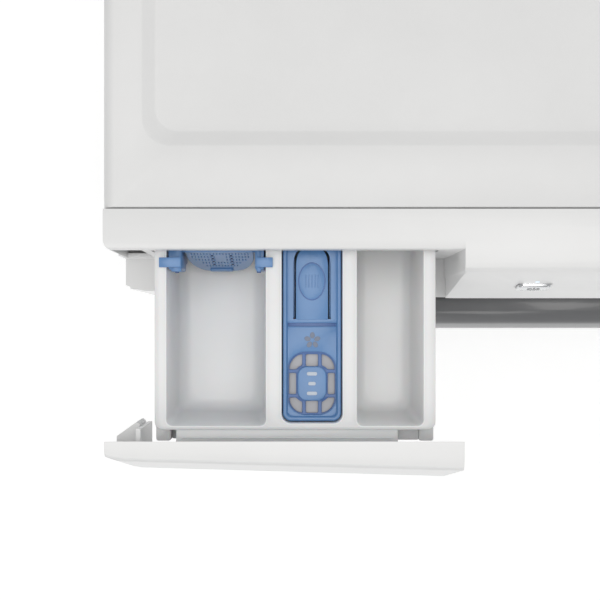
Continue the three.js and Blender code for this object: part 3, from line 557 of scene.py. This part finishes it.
def drawer_tray():
    """The tray, what joins it to the drawer's front, and the pale grey ledge under the insert's windows,
    darker than the tray itself as painted shade.
    """
    parts = [tray_body()]
    for x0, x1 in ((-276, -268.5), (-141, -133.5)):
        parts.append(block("lug", x0, x1, at(89), at(97), 800, 825, TRAY, 1.2, 0.5))
    parts.append(block("neck", -262, -152, at(89), at(95), 812, 822, TRAY, 0.8, 0.4))
    parts.append(block("cross_band", -265, -152.5, at(90), at(97), 822, 834.4, TRAY, 0.8, 0.5))
    parts.append(block("band_line", -262, -155, at(94.6), at(95.0), 834, 834.9, TRAY, 0, 0.15))
    parts.append(block("saddle", -152.5, -141, at(90), at(96.6), 812, 824, TRAY, 0.8, 0.5))
    parts.append(block("saddle", -268.5, -265, at(90), at(96.6), 812, 816, TRAY, 0.8, 0.5))
    # a sill across the rear of the two open compartments
    for x0, x1, _, floor, _, _ in (WELLS[0], WELLS[2]):
        parts.append(block("sill", x0 + 3, x1 - 3, at(-112), at(-109), floor - 0.5, floor + 14, TRAY,
                           1.2, 0.6))
    stands_for(merged("tray_body", *parts), hero("drawer_tray"))
    # the ledge's darker grey is painted shade
    ledge = plate("softener_ledge", [rounded(-210.6, -181.4, at(86), at(46), 4)], 826.6, 828.2, LEDGE_SHADED, 0.3)
    detail(ledge, "drawer")


TONGUE_HALF = 7.85  # half the release tongue's width
SLOT = 1.75  # the width of the slot round it
FIELD = 829.4  # the underside of the insert's flat top
WINDOW_P = 67.4  # the middle of the insert's ring of windows, from the notch's back wall
RING = (11.9, 15.2)  # half its outer width and length
LANDING = (7.8, 8.6)  # half the island's width and length, less the gutter round it


def windows():
    """The eight openings of the ring, as outlines."""
    (a, b), (c, d) = RING, LANDING
    shapes = []
    for side in (-1, 1):
        shapes.append(eased([(side * a, -5.7), (side * a, 5.7), (side * c, 5.7), (side * c, -5.7)], 1.1))
        shapes.append(eased([(-3.4, side * b), (3.4, side * b), (3.4, side * d), (-3.4, side * d)], 1.1))
        for end in (-1, 1):
            arc = [(a - 7.4 + 7.4 * math.cos(t), b - 8.4 + 8.4 * math.sin(t))
                   for t in [TAU / 4 * k / 8 for k in range(9)]]
            corner = [(c + 0.3, 6.9), (a - 0.15, 6.9)] + [q for q in arc if q[1] > 7.4 and q[0] > 5.0] + [
                (4.7, b - 0.1), (4.7, d + 0.6), (6.4, d - 0.2)]
            shapes.append([(side * x, end * y) for x, y in eased(corner, 0.7, 2)])
    return [[(INSERT_X + x, at(WINDOW_P) + y) for x, y in shape] for shape in shapes]


def tongue_outline(grow):
    """The release tongue between its two slots, which bend towards each other at the rear."""
    half = TONGUE_HALF + grow
    side = [(-half, 34.5), (-half, 7.5)]
    for k in range(1, 7):
        a = TAU / 4 * k / 6
        side.append((-half + 3.4 * (1 - math.cos(a)), 7.5 - 8.0 * math.sin(a)))
    side.append((-half + 3.4, -11.0))
    return mirrored([(INSERT_X + x, at(p)) for x, p in side], INSERT_X)


def petals(cx, cy, size, z, mat):
    """A plain five-petalled mark with a stem."""
    parts = []
    for k in range(5):
        a = TAU * (0.25 + k / 5)
        c, s = math.cos(a), math.sin(a)
        shape = [(cx + (c * u - s * v) * size, cy + (s * u + c * v) * size)
                 for u, v in [(0.62 + 0.36 * math.cos(t), 0.27 * math.sin(t))
                              for t in [TAU * i / 14 for i in range(14)]]]
        parts.append(plate("petal", [shape], z - 0.3, z + 0.16, mat, 0.08, 1))
    return parts


def siphon_insert():
    """The insert, with its rim, fields, windows and marks, and the release tongue in its slots."""
    x0, x1 = INSERT_LOW[0] + 0.35, INSERT_HIGH[0] - 0.35
    rear, front, top = INSERT_HIGH[1], INSERT_LOW[1] + 0.3, INSERT_HIGH[2]
    def loop(inset, z, r):
        return [(x, y, z) for x, y in rounded(x0 + inset, x1 - inset, front + inset, rear,
                                              [r, 0.2, 0.2, r], 7)]
    rim = [loop(0.2, 822, 4), loop(0, 831.9, 4), loop(0.15, 832.3, 3.9), loop(0.5, top, 3.6),
           loop(1.5, top, 2.9), loop(1.9, 832.3, 2.5), loop(2.6, 830.9, 2.2), loop(2.7, 829.6, 2.2)]
    parts = [stack("insert_rim", rim, BLUE, (False, False))]
    field = rounded(x0 + 2.0, x1 - 2.0, at(36.2), rear, 0.6, 4)
    rear_field = carved(plate("field", [field], FIELD, 831.5, BLUE, 0.35),
                        slab("cut", tongue_outline(SLOT), 825, 835, BLUE), angle=40)
    parts.append(block("hinge", INSERT_X - 7.4, INSERT_X + 7.4, at(35.6), at(34.1), 829.5, 831.45, BLUE,
                       0.2, 0.15))
    parts.append(rear_field)
    groove = rounded(x0 + 2, x1 - 2, at(40), at(35), 0.3, 2)
    # the groove is drawn in the darker blue: painted shade in the recess
    parts.append(plate("groove", [groove], 829.2, 830.4, BLUE_SHADED, 0.1))
    reach = RING[0] + 0.9
    gutter = rounded(INSERT_X - reach, INSERT_X + reach, at(WINDOW_P + RING[1] + 1.0),
                     at(WINDOW_P - RING[1] - 1.4), 9.4, 9)
    front_field = rounded(x0 + 2.0, x1 - 2.0, front + 2.0, at(38.6), [2.2, 0.8, 0.8, 2.2], 5)
    parts.append(plate("field", [front_field, gutter], FIELD, 831.1, BLUE, 0.4))
    # the ring round the windows is drawn in the darker blue: painted shade in the recess
    parts.append(plate("ring", [rounded(x0 + 2.2, x1 - 2.2, front + 2.2, at(46), 3, 5), *windows()],
                       828.9, 830.0, BLUE_SHADED, 0.25))
    half, length = LANDING[0] - 1.0, LANDING[1] - 0.4
    island = rounded(INSERT_X - half, INSERT_X + half, at(WINDOW_P + length), at(WINDOW_P - length), 4.2, 7)
    parts.append(plate("island", [island], FIELD, 831.0, BLUE, 0.55, 3))
    for k, half in enumerate((2.5, 1.8, 2.5)):  # three bars for a level mark
        y = at(62.4 + 5.0 * k)
        bar = rounded(INSERT_X - half, INSERT_X + half, y - 0.8, y + 0.8, 0.7, 4)
        parts.append(plate("bar", [bar], 830.8, 831.3, MARK_PALE, 0.12))
    parts += petals(INSERT_X + 0.2, at(45.4), 4.2, 831.15, MARK_DIM)
    for x in (INSERT_X - 9.3, INSERT_X + 9.3):
        parts.append(block("rail", x - 0.4, x + 0.4, at(34), rear, 826, 829.6, BLUE, 0, 0.2))
    parts.append(tube("stem", [(-196, at(69), 774), (-196, at(69), FIELD)], 5.0, BLUE, 24))
    stands_for(merged("siphon_insert_body", *parts), hero("siphon_insert"))

    lever = [plate("tongue", [tongue_outline(0)], 829.6, 831.7, BLUE, 0.35)]
    pad_x, mid = INSERT_X - 0.1, at(15.4)
    line = [oval(pad_x, mid, 6.9, 9.6), oval(pad_x, mid, 6.45, 9.15)]
    # the pad's outline is drawn in the darker blue: painted shade
    lever.append(plate("pad_line", line, 831.4, 831.95, BLUE_SHADED, 0.1))
    lever.append(plate("pad", [oval(pad_x, mid, 6.2, 8.9)], 831.3, 832.0, BLUE, 0.3))
    for k in range(5):
        x = INSERT_X - 3.2 + 1.6 * k
        lever.append(block("grip", x - 0.22, x + 0.22, mid - 3.2, mid + 3.4, 831.6, 832.25, BLUE, 0.2, 0.1))
    lever.append(block("stop", INSERT_X - 4.0, INSERT_X + 4.0, at(-9.2), at(-11), 829, 834.2, BLUE, 0.4, 0.3))
    stands_for(merged("release_lever", *lever), hero("release_tongue"))


FLAP_LOW, FLAP_HIGH = corners("flap_plate")
FLAP_TILT = math.atan2(8.1, 49)
FLAP_X = (FLAP_LOW[0] + FLAP_HIGH[0]) / 2
FLAP_PIN = (at(-0.5), 832)  # Y and Z of the line it swings on


def flap():
    """The perforated flap, drawn flat with its pin line at height zero, then hung."""
    half, drop = 17.1, 46.8
    side = [(-half, 1.4), (-half, -11.0)]
    for k in range(1, 11):
        a = TAU / 4 * k / 10
        side.append((-half + 10.5 * (1 - math.cos(a)), -11.0 - (drop - 11.0) * math.sin(a)))
    outline = mirrored(side, 0)
    holes = []
    for row, h in enumerate((-5.5, -12.5, -19.5, -26.5, -33.5)):
        for col in range(-9, 10):
            x = col * 1.62
            if abs(x) > 15.2 - max(0, row - 1) * 2.0 or (row in (1, 2) and abs(x) < 2.3):
                continue
            holes.append(rounded(x - 0.42, x + 0.42, h - 1.9, h + 1.9, 0.4, 3))
    parts = [plate("flap", [outline, *holes], -0.8, 0.8, BLUE, 0.2, 1)]
    for x in (-4.05, 5.67):
        for h in (-9.2, -16.2, -23.2, -30.2):
            # the dark pips are painted shadow, in the near-black blue_shadow colour
            parts.append(plate("pip", [oval(x, h, 0.55, 0.9, 12)], -0.4, 1.1, BLUE_DARK, 0.1, 1))
    parts.append(plate("lip", [rounded(-6.5, 5.2, -drop + 2.6, -drop + 5.8, 1.0, 4)], 0.4, 1.9, BLUE, 0.4))
    parts.append(plate("heel", [rounded(-half, half, -0.9, 1.5, 0.5, 3)], -1.0, 1.4, BLUE, 0.4))
    flat = merged("flap_sheet", *parts)
    turn = Matrix.Rotation(math.radians(90), 4, "X")
    hang = Matrix.Rotation(-FLAP_TILT, 4, "X")
    place = Matrix.Translation((FLAP_X * MM, FLAP_PIN[0] * MM, FLAP_PIN[1] * MM))
    flat.data.transform(place @ hang @ turn)
    pin = tube("pin", [(FLAP_LOW[0], *FLAP_PIN), (FLAP_HIGH[0], *FLAP_PIN)], 1.2, BLUE)
    stands_for(merged("flap_sheet", flat, pin), hero("flap_plate"))


def holder():
    """The flap's bracket, with a cheek and a post at each end."""
    parts = [softened("flap_holder", BLUE, 0.45, 2)]
    for x0, x1 in ((-268.9, -262.1), (-225.0, -220.4)):
        parts.append(block("cheek", x0, x1, at(9.6), at(-2.4), 806, 834.3, BLUE, 1.2, 0.5))
    for x in (-264.9, -223.1):
        parts.append(tube("post", [(x, at(6.8), 796), (x, at(6.8), 834.4)], 1.7, BLUE, 14))
        # the bosses are drawn in the darker blue: painted shade
        parts.append(tube("boss", [(x, at(8.9), 829), (x, at(10.9), 829)], 1.1, BLUE_SHADED))
    stands_for(merged("flap_bracket", *parts), hero("flap_holder"))


# ---- worktop and fascia ----

def worktop():
    """Nested outlines, from the skirt over the rolled edge to the sunk panel."""
    x1 = TOP_HIGH[0]
    rear = at(-534)
    def loop(side, seam, z, front_r, rear_r):
        return [(x, y, z) for x, y in rounded(-x1 + side, x1 - side, SEAM_Y + seam, rear - side,
                                              [front_r, rear_r, rear_r, front_r], 8)]
    loops = [loop(1.2, 0.6, TOP_LOW[2], 0.4, 7), loop(0.4, 0.3, TOP_LOW[2] + 0.8, 0.4, 8),
             loop(0, 0, 830, 0.4, 8)]
    roll = 5.6
    for k in range(9):
        a = TAU / 4 * k / 8
        bend = 1 - math.cos(a)
        loops.append(loop(roll * bend, 0.9 * bend, HEIGHT - roll + roll * math.sin(a) * 0.999,
                          0.4 + 0.3 * k / 8, 8 + 1.0 * k / 8))
    side, seam, back = 19.0, 30.7, 26.0
    for t, z in ((0, 0), (0.06, -0.12), (0.2, -0.55), (0.5, -1.5), (0.8, -2.45), (0.94, -2.88), (1, -3.0)):
        inset = 7.0 * t
        loops.append([(x, y, HEIGHT + z) for x, y in rounded(
            -x1 + side + inset, x1 - side - inset, SEAM_Y + seam + 8 * t, rear - back + 6 - inset,
            14 - 3 * t, 8)])
    top = stack("worktop_board", loops, TOP, (False, True), angle=60)
    inner = rounded(-x1 + 3, x1 - 3, SEAM_Y + 3, rear - 3, 4, 8)
    lip = stack("lip", [loops[0], [(x, y, TOP_LOW[2]) for x, y in inner], [(x, y, 840) for x, y in inner]],
                WHITE, (False, True))
    # the mouth that the drawer slides in through
    mouth = block("cut", -290, -124, SEAM_Y - 3, SEAM_Y + 5, 820, 839.6, WHITE)
    board = merged("worktop_board", top, lip)
    tidy(board, 60)
    board = carved(board, mouth, angle=60)
    stands_for(board, hero("worktop"))


def control_panel():
    """The fascia, its edge over the notch eased and its free corner rounded off."""
    panel = softened("control_panel", WHITE, 0, name="fascia")
    drop, run = 1.7, 5.2
    profile = [(at(-run) - 0.01, HEIGHT + 1), (at(-run) - 0.01, HEIGHT + 0.001)]
    for k in range(1, 9):
        a = TAU / 4 * k / 8
        profile.append((at(-run + run * math.sin(a)), HEIGHT - drop * (1 - math.cos(a))))
    profile += [(at(0.6), HEIGHT - drop), (at(0.6), HEIGHT + 1)]
    loops = [[(x, y, z) for y, z in profile] for x in (-301, -120.4)]
    panel_cut = stack("cut", loops, WHITE)
    corner = [(-301, at(-4.8))]
    for k in range(7):
        a = TAU / 4 * k / 6
        corner.append((-300 + 3.6 * (1 - math.cos(a)), at(-4.8 + 5.0 * math.sin(a))))
    corner += [(-296.4, at(0.8)), (-301, at(0.8))]
    corner_cut = slab("cut", corner, 790, HEIGHT + 1, WHITE)
    carved(panel, panel_cut, corner_cut, angle=40)
    bevelled(panel, 0.45, 2, 42, 60)
    lining = block("lining", -297.3, -282, at(-8.2), at(-8.9), 770, 840, WHITE, 0.3, 0.2)
    stands_for(merged("fascia", panel, lining), hero("control_panel"))


# ---- door, gasket and drum ----

HINGE_X, HINGE_P = -224.0, 26.0


def ring(name, profile, mat, sides=144, shut=True, ease=0.0):
    """A lathe about the drum's axis; the profile lists (radius, Y)."""
    return turned(name, eased(profile, ease) if ease else profile, mat, (0, DRUM_Z), sides, shut, 40)


def door():
    """The door's dark ring with its finger grip and hinge, its trim, its back and its glass bowl."""
    skin = ring("door_ring", [
        (152, -238), (155, -246), (172, -250.6), (195, -251.65), (208, -248.5), (214, -242), (215, -234),
        (212, -224.8), (209, -224.8), (211.5, -234), (208, -240.5), (195, -247.5), (172, -246.5),
        (158.5, -242), (155.5, -238)], DARK, 160, ease=2.2)
    carved(skin, block("cut", 199, 222, -243, -218, 395, 485, DARK, 4), angle=40)
    barrel = tube("barrel", [(HINGE_X, at(HINGE_P), z) for z in (378, 378.6, 501.4, 502)],
                  [4.4, 5, 5, 4.4], DARK, 28)
    arm = block("arm", HINGE_X, -200, at(28.4), at(23.6), 392, 488, DARK, 1.0, 0.8)
    trim = ring("door_trim", [(155.2, -246.5), (156.2, -248.6), (159.6, -249.4), (160.6, -248.6),
                              (160, -247.4)], TRIM, 160, ease=0.3)
    stands_for(merged("door_ring", skin, barrel, arm), hero("door_frame"))
    detail(trim, "door")
    rear = ring("door_back", [(149.5, -227.6), (149.5, -222), (158, -219), (200, -219), (206, -222),
                              (208, -226), (208, -227.6)], BLACK, 128, ease=1.2)
    head = [(0, -218.2), (2.6, -218.2), (3.4, -218.8), (3.4, -219.4)]
    screws = []
    for k in range(10):
        a = TAU * (k + 0.5) / 10
        x, z = 184 * math.cos(a), DRUM_Z + 184 * math.sin(a)
        screws.append(turned("screw", head, ZINC, (x, z), 16))
    carved(rear, block("cut", 184, 198, -230, -215, 430, 450, BLACK), angle=40)
    stands_for(merged("door_back", rear, *screws), hero("door_rear_frame"))
    bowl = ring("door_bowl", [
        (0.01, -150), (60, -150.4), (105, -152), (122, -158.5), (130, -166), (138, -183), (143, -200),
        (147.5, -228), (160, -228), (160, -232), (144, -232), (141.2, -216), (138, -202), (131, -180),
        (125, -169.5), (116, -161.5), (103, -157), (55, -155.4), (0.01, -155)], GLASS, 128, False)
    stands_for(bowl, hero("door_glass"))


def gasket():
    """The folded rubber ring."""
    low, high = corners("door_gasket")
    outer, inner = [], []
    start, end = low[1] + 1.2, high[1] - 1.2
    for k in range(33):
        t = k / 32
        y = start + (end - start) * t
        fold = 163.2 + 5.8 * math.cos(TAU * 2.0 * t) + 1.2 * (1 - t)
        outer.append((fold + 1.5, y))
        inner.append((fold - 1.5, y))
    seal = ring("gasket_folds", outer + inner[::-1], SEAL, 120)
    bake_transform(seal)
    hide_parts(hero("door_gasket"))


def drum():
    """The perforated wall, its front lip and pressed back, and the lifters."""
    low, high = corners("drum_shell")
    r, front, rear = 240.0, low[1], high[1]
    around, along = 100, 20
    y0, y1 = front + 12, rear - 14
    verts, faces = [], []
    def point(u, v):
        a = TAU * u / around
        verts.append((r * 0.997 * math.cos(a), y0 + (y1 - y0) * v / along, DRUM_Z + r * 0.997 * math.sin(a)))
        return len(verts) - 1
    for i in range(around):
        for j in range(along):
            shift = 0.5 * (j % 2)
            plain = i % (around // 3) in (0, 1)  # the strips along the wall that have no holes
            edge_loop = [point(i + shift + du, j + dv) for du, dv in (
                (0, 0), (0.5, 0), (1, 0), (1, 0.5), (1, 1), (0.5, 1), (0, 1), (0, 0.5))]
            if plain:
                faces.append(tuple(edge_loop))
                continue
            hole = [point(i + shift + 0.5 + 0.2 * math.cos(t), j + 0.5 + 0.2 * math.sin(t))
                    for t in [TAU * (k / 8 + 0.625) for k in range(8)]]
            for k in range(8):
                n = (k + 1) % 8
                faces.append((edge_loop[k], edge_loop[n], hole[n], hole[k]))
    wall = piece("drum_wall", verts, faces, STEEL, 60)
    wall.modifiers.new("sheet", "SOLIDIFY").thickness = 1.2 * MM
    baked(wall, 60)
    lip = ring("drum_lip", [
        (r, y0 + 1), (r, front + 4), (r - 2, front + 1), (r - 5, front), (200, front + 0.6), (180, front + 3),
        (173, front + 1), (170, front + 1), (170, front + 3), (174, front + 3.4), (181, front + 5.2),
        (200, front + 2.6), (r - 6, front + 2), (r - 2.6, front + 5), (r - 1.5, y0 + 1)], STEEL, 128)
    back = [(0.01, rear - 1.6), (60, rear - 1.6), (66, rear - 5), (118, rear - 5), (124, rear - 1.6),
            (150, rear - 1.6), (156, rear - 4), (206, rear - 4), (212, rear - 1.6), (r - 6, rear - 1.6),
            (r - 1.4, rear - 5), (r - 1.4, y1 - 1)]
    behind = [(a + 1.3 if a > 200 and b < rear - 6 else a, b + 1.4) for a, b in back[::-1]]
    base = ring("drum_back", back + behind, STEEL, 128)
    stands_for(merged("drum_perforated", wall, lip, base), hero("drum_shell"))
    for k in range(3):
        lift = softened(f"drum_lifter_{k + 1}", TRAY, 2.2, 3, 30)
        stands_for(lift, hero(f"drum_lifter_{k + 1}"))


# ---- hoses and springs between the cabinet and the tub ----

def helix(x, y, low, high, reach, turns):
    """The path of an upright coil spring with a hook at each end."""
    points = [(x, y, low), (x, y, low + 15), (x + reach * 0.5, y, low + 22)]
    for i in range(turns * 20 + 1):
        a = TAU * i / 20
        z = low + 26 + (high - low - 52) * i / (turns * 20)
        points.append((x + reach * math.cos(a), y + reach * math.sin(a), z))
    return points + [(x + reach * 0.5, y, high - 22), (x, y, high - 15), (x, y, high)]


def bellows(name, path, radius, mat, pitch=4.0, depth=1.6):
    """A corrugated hose along a path."""
    pts = [Vector(p) for p in path]
    smooth = []
    for i in range(len(pts) - 1):
        steps = max(2, int((pts[i + 1] - pts[i]).length / 1.0))
        smooth += [pts[i].lerp(pts[i + 1], k / steps) for k in range(steps)]
    smooth.append(pts[-1])
    run, radii = 0.0, []
    for i, p in enumerate(smooth):
        run += (p - smooth[i - 1]).length if i else 0.0
        near = min(i, len(smooth) - 1 - i)
        radii.append(radius - (depth * (0.5 - 0.5 * math.cos(TAU * run / pitch)) if near > 10 else 0))
    return tube(name, smooth, radii, mat, 24)


def arc_path(points, r, n=8):
    """Straight runs with each corner turned on a curve."""
    out = [Vector(points[0])]
    for before, here, after in zip(points, points[1:], points[2:]):
        a, b, c = Vector(before), Vector(here), Vector(after)
        start, end = b + (a - b).normalized() * r, b + (c - b).normalized() * r
        out += [start.lerp(b, k / n).lerp(b.lerp(end, k / n), k / n) for k in range(n + 1)]
    return out + [Vector(points[-1])]


def giving(obj, node):
    """A piece between two bodies: bakes its placement into its points and hides the CAD node it stands for.
    """
    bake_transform(obj)
    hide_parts(hero(node))


def hoses_and_springs():
    """The pieces between the cabinet and the tub."""
    for side, name in ((-1, "spring_left"), (1, "spring_right")):
        low, high = corners(name)
        x, y = side * 258.0, 70.0
        coil = tube(name + "_coil", helix(x, y, low[2], high[2], 11.0, 9), 1.8, ZINC, 10)
        giving(coil, name)
    y = -12.75
    inlet = arc_path([(-200, y, 751.6), (-200, y, 716), (-170, y, 682), (-170, y, 652.8)], 10)
    giving(bellows("fill_hose_folds", inlet, 17.6, RUBBER), "fill_hose")
    y = -135
    sump = arc_path([(110, y, 192.6), (110, y, 97), (161.6, y, 97)], 38, 14)
    giving(bellows("sump_hose_folds", sump, 24.6, RUBBER, 6.0, 2.2), "sump_hose")


# ---- controls ----

SLOPE = math.atan2(11, 88.5)
CONTROL_Z = 802.0
KNOB_X, DISPLAY_X = 0.0, 78.0


def on_fascia(obj, x, out=0.0):
    """Moves a piece drawn about the origin, facing -Y, onto the sloping fascia."""
    p = 22.2 - (CONTROL_Z - 757) * math.tan(SLOPE)
    place = Matrix.Translation((x * MM, at(p) * MM, CONTROL_Z * MM)) @ Matrix.Rotation(-SLOPE, 4, "X")
    obj.data.transform(place @ Matrix.Translation((0, -out * MM, 0)))
    return obj


def printed(name, outlines, mat, x, out=0.0):
    """Marks standing just off the fascia."""
    flat = plate(name, outlines, -0.08, 0.08, mat, 0.02, 1)
    flat.data.transform(Matrix.Rotation(math.radians(90), 4, "X"))
    return on_fascia(flat, x, out)


def knob():
    """The ribbed programme dial and the ticks and dots round it."""
    profile = [(0.01, -16.2), (12, -16.2), (17, -15.9), (19.4, -15.2), (20.4, -13.6), (21.2, -9),
               (22.6, -3.4), (24.2, -1.0), (24.2, -0.5), (4, -0.5), (4, 7.6), (0.01, 7.6)]
    body = turned("knob", eased(profile, 0.8, 3, False), TRIM, angle=30)
    ribs = []
    for k in range(48):
        a = TAU * k / 48
        c, s = math.cos(a), math.sin(a)
        line = [(21.0 * c, -12.5, 21.0 * s), (22.5 * c, -4.2, 22.5 * s)]
        ribs.append(tube("rib", line, [0.45, 0.6], TRIM, 6))
    face = turned("face", [(0.01, -16.6), (15.6, -16.6), (16.4, -16.2), (16.4, -15.8)], GREY, sides=72)
    pointer = block("pointer", -0.9, 0.9, -17.1, -15.5, 9, 15.5, WHITE, 0.5, 0.2)
    dial = merged("programme_dial", body, face, pointer, *ribs)
    stands_for(on_fascia(dial, KNOB_X), hero("programme_knob"))
    marks = []
    for k in range(14):
        a = TAU * k / 14 + TAU / 4
        c, s = math.cos(a), math.sin(a)
        length = 4.6 if k % 7 == 0 else 2.8
        shape = [(r * c - w * s, r * s + w * c) for r, w in (
            (28.5, -0.4), (28.5 + length, -0.4), (28.5 + length, 0.4), (28.5, 0.4))]
        marks.append(printed("tick", [shape], MARK, KNOB_X))
        for j in range(2 + k % 2):
            far = 36.5 + 2.6 * j
            marks.append(printed("dot", [oval(far * c, far * s, 0.8, 0.8, 12)], MARK, KNOB_X))
    detail(merged("dial_marks", *marks), "cabinet")


def display():
    """The window with every segment lit, so that it shows no reading."""
    stands_for(softened("display_window", WINDOW, 0.5, 3), hero("display_window"))
    lit = []
    def glow(name, *outlines):
        lit.append(printed(name, outlines, LIT, DISPLAY_X, out=0.1))
    def bar(x, z, w, h):
        glow("bar", rounded(x - w / 2, x + w / 2, z - h / 2, z + h / 2, min(w, h) * 0.4, 3))
    for x in (-14, -4.5, 6.5, 16):
        for z in (4.8, -4.8):
            bar(x - 3.3, z, 1.2, 7.6)
            bar(x + 3.3, z, 1.2, 7.6)
        for z in (9.6, 0, -9.6):
            bar(x, z, 4.6, 1.2)
    for z in (3.2, -3.2):
        bar(1, z, 1.3, 1.3)
    for k in range(9):
        bar(-38 + 9.5 * k, -16.6, 6.0, 1.1)
    for k in range(4):
        z = 12 - 7.5 * k
        glow("lamp", oval(-36, z, 1.6, 1.6, 16), oval(-36, z, 1.1, 1.1, 16))
        bar(35, z, 7, 1.2)
    detail(merged("display_marks", *lit), "cabinet")


POWER_X, OPTIONS_X, START_X = -78, 152, 196


def buttons():
    """The three buttons, each with a common sign, and a lamp over each."""
    turns = [TAU * (0.32 + 0.86 * k / 24) for k in range(25)]
    power = [[(3.4 * math.cos(t), 3.4 * math.sin(t)) for t in turns] +
             [(2.6 * math.cos(t), 2.6 * math.sin(t)) for t in turns[::-1]],
             [(-0.45, 0.6), (0.45, 0.6), (0.45, 4.2), (-0.45, 4.2)]]
    options = [rounded(-4, 4, z - 0.45, z + 0.45, 0.4, 3) for z in (-2.6, 0, 2.6)]
    start = [[(-4.6, -3), (0.4, 0), (-4.6, 3)], [(1.8, -3), (2.8, -3), (2.8, 3), (1.8, 3)],
             [(4.2, -3), (5.2, -3), (5.2, 3), (4.2, 3)]]
    for node, x, sign in (("button_power", POWER_X, power), ("button_options", OPTIONS_X, options),
                          ("button_start_pause", START_X, start)):
        cap = softened(node, TRIM, 0.7, 3)
        marks = [printed("sign", [shape], MARK, x, out=1.86) for shape in sign]
        stands_for(merged(node + "_cap", cap, *marks), hero(node))
    lamps = [printed("lamp", [oval(0, 12.5, 1.1, 1.1, 14)], LIT, x) for x in (POWER_X, OPTIONS_X, START_X)]
    detail(merged("button_lamps", *lamps), "cabinet")


# ---- the back ----

def screw(x, y, z):
    """A pan-headed screw with a dark cross on it, in the back."""
    head = turned("head", [(0.01, y + 1.7), (1.6, y + 1.65), (3.2, y + 1.1), (3.9, y + 0.2), (3.9, y - 0.1)],
                  ZINC, (x, z), 20)
    return [head] + [block("slot", x - a, x + a, y + 1.5, y + 1.8, z - b, z + b, VOID)
                     for a, b in ((1.9, 0.35), (0.35, 1.9))]


def back_details():
    """The service cover with its pressed ribs and screws, then what is fixed to the cabinet's back."""
    cover_y = corners("rear_service_cover")[1][1]
    flange_y = cover_y - 11.8
    parts = [softened("rear_service_cover", ZINC, 1.6, 3, 40)]
    for z in (230, 330, 430, 530):
        parts.append(block("press", -120, 120, cover_y - 0.6, cover_y + 1.0, z, z + 26, ZINC, 0, 0.9))
    for x in (-186, 0, 186):
        for z in (144, 656):
            parts += screw(x, flange_y, z)
    for x in (-186, 186):
        for z in (272, 400, 528):
            parts += screw(x, flange_y, z)
    stands_for(merged("service_cover", *parts), hero("rear_service_cover"))
    y = corners("cabinet_shell")[1][1]
    fixed = []
    for x in (-286, 286):
        for z in (60, 250, 440, 630, 800):
            fixed += screw(x, y, z)
    for x in (-238, 238):
        for z in (300, 560):
            profile = [(0.01, y + 2.6), (12, y + 2.6), (15, y + 1.2), (16, y), (0.01, y)]
            fixed.append(turned("plug", eased(profile, 0.8, 3, False), GREY, (x, z), 32))
    plate_y = y + 0.25
    fixed.append(block("label", 60, 150, y, plate_y, 705, 745, MARK_PALE, 0, 0.1))
    for k in range(5):
        fixed.append(block("label_line", 66, 140 - 11 * (k % 3), plate_y - 0.02, plate_y + 0.08, 736 - 6 * k,
                           738 - 6 * k, MARK, 0, 0))
    for k in range(9):
        fixed.append(block("louvre", -150, -90, y, y + 1.3, 712 + 7 * k, 714.6 + 7 * k, ENAMEL, 0, 0.5))
    detail(merged("back_fittings", *fixed), "cabinet")


# ---- camera, light and floor ----

FLOOR_HALF = 24000
AIM = Vector((0, -0.1, 0.5))  # where the lamps point, in metres
PHOTO_PX = 600
CAMERA_RISE, CAMERA_P = 655, 39.6  # over the worktop, and in front of the notch's back wall


def stage_set():
    """The pale floor, the soft lamps and the world."""
    floor = block("studio_floor", -FLOOR_HALF, FLOOR_HALF, -FLOOR_HALF, FLOOR_HALF, -4, 0, surface(
        "studio_paper", (0.93, 0.93, 0.93), 0.8, vary=0.01, mottle=3, grain=240, bump=0.05,
        Emission_Color=(1, 1, 1, 1), Emission_Strength=0.28))
    SCENE.world = bpy.data.worlds.new("studio")
    SCENE.world.use_nodes = True
    back = SCENE.world.node_tree.nodes["Background"]
    back.inputs[0].default_value = (0.97, 0.985, 1.0, 1)
    back.inputs[1].default_value = 0.45
    for name, place, size, power in (
        ("key", (-1.7, -2.3, 2.6), 1.8, 22), ("fill", (2.4, -1.8, 2.0), 2.2, 14),
        ("rear", (0.8, 2.6, 2.4), 2.0, 14), ("over", (-0.2, -0.2, 3.3), 1.7, 27),
    ):
        lamp = bpy.data.lights.new(name, "AREA")
        lamp.size = size
        lamp.energy = power
        lamp.color = (1.0, 0.985, 0.96)
        obj = bpy.data.objects.new(name, lamp)
        SCENE.collection.objects.link(obj)
        obj.location = place
        obj.rotation_euler = (AIM - Vector(place)).to_track_quat("-Z", "Y").to_euler()
    SCENE.view_settings.view_transform = "Standard"


def camera_set():
    """Straight down on the open drawer at the front left corner."""
    lens = bpy.data.cameras.new("camera")
    lens.lens = 79.4
    lens.sensor_width = 36.0
    lens.shift_x = 11 / PHOTO_PX
    lens.shift_y = 29 / PHOTO_PX
    lens.clip_end = 50
    camera = bpy.data.objects.new("camera", lens)
    SCENE.collection.objects.link(camera)
    middle = (TRAY_LOW[0] + TRAY_HIGH[0]) / 2
    camera.location = (middle * MM - 0.003, at(CAMERA_P) * MM, (HEIGHT + CAMERA_RISE) * MM)
    SCENE.camera = camera


worktop()
control_panel()
drawer_tray()
siphon_insert()
flap()
holder()
door()
gasket()
drum()
hoses_and_springs()
knob()
display()
buttons()
back_details()
plain_pieces()
stage_set()
camera_set()
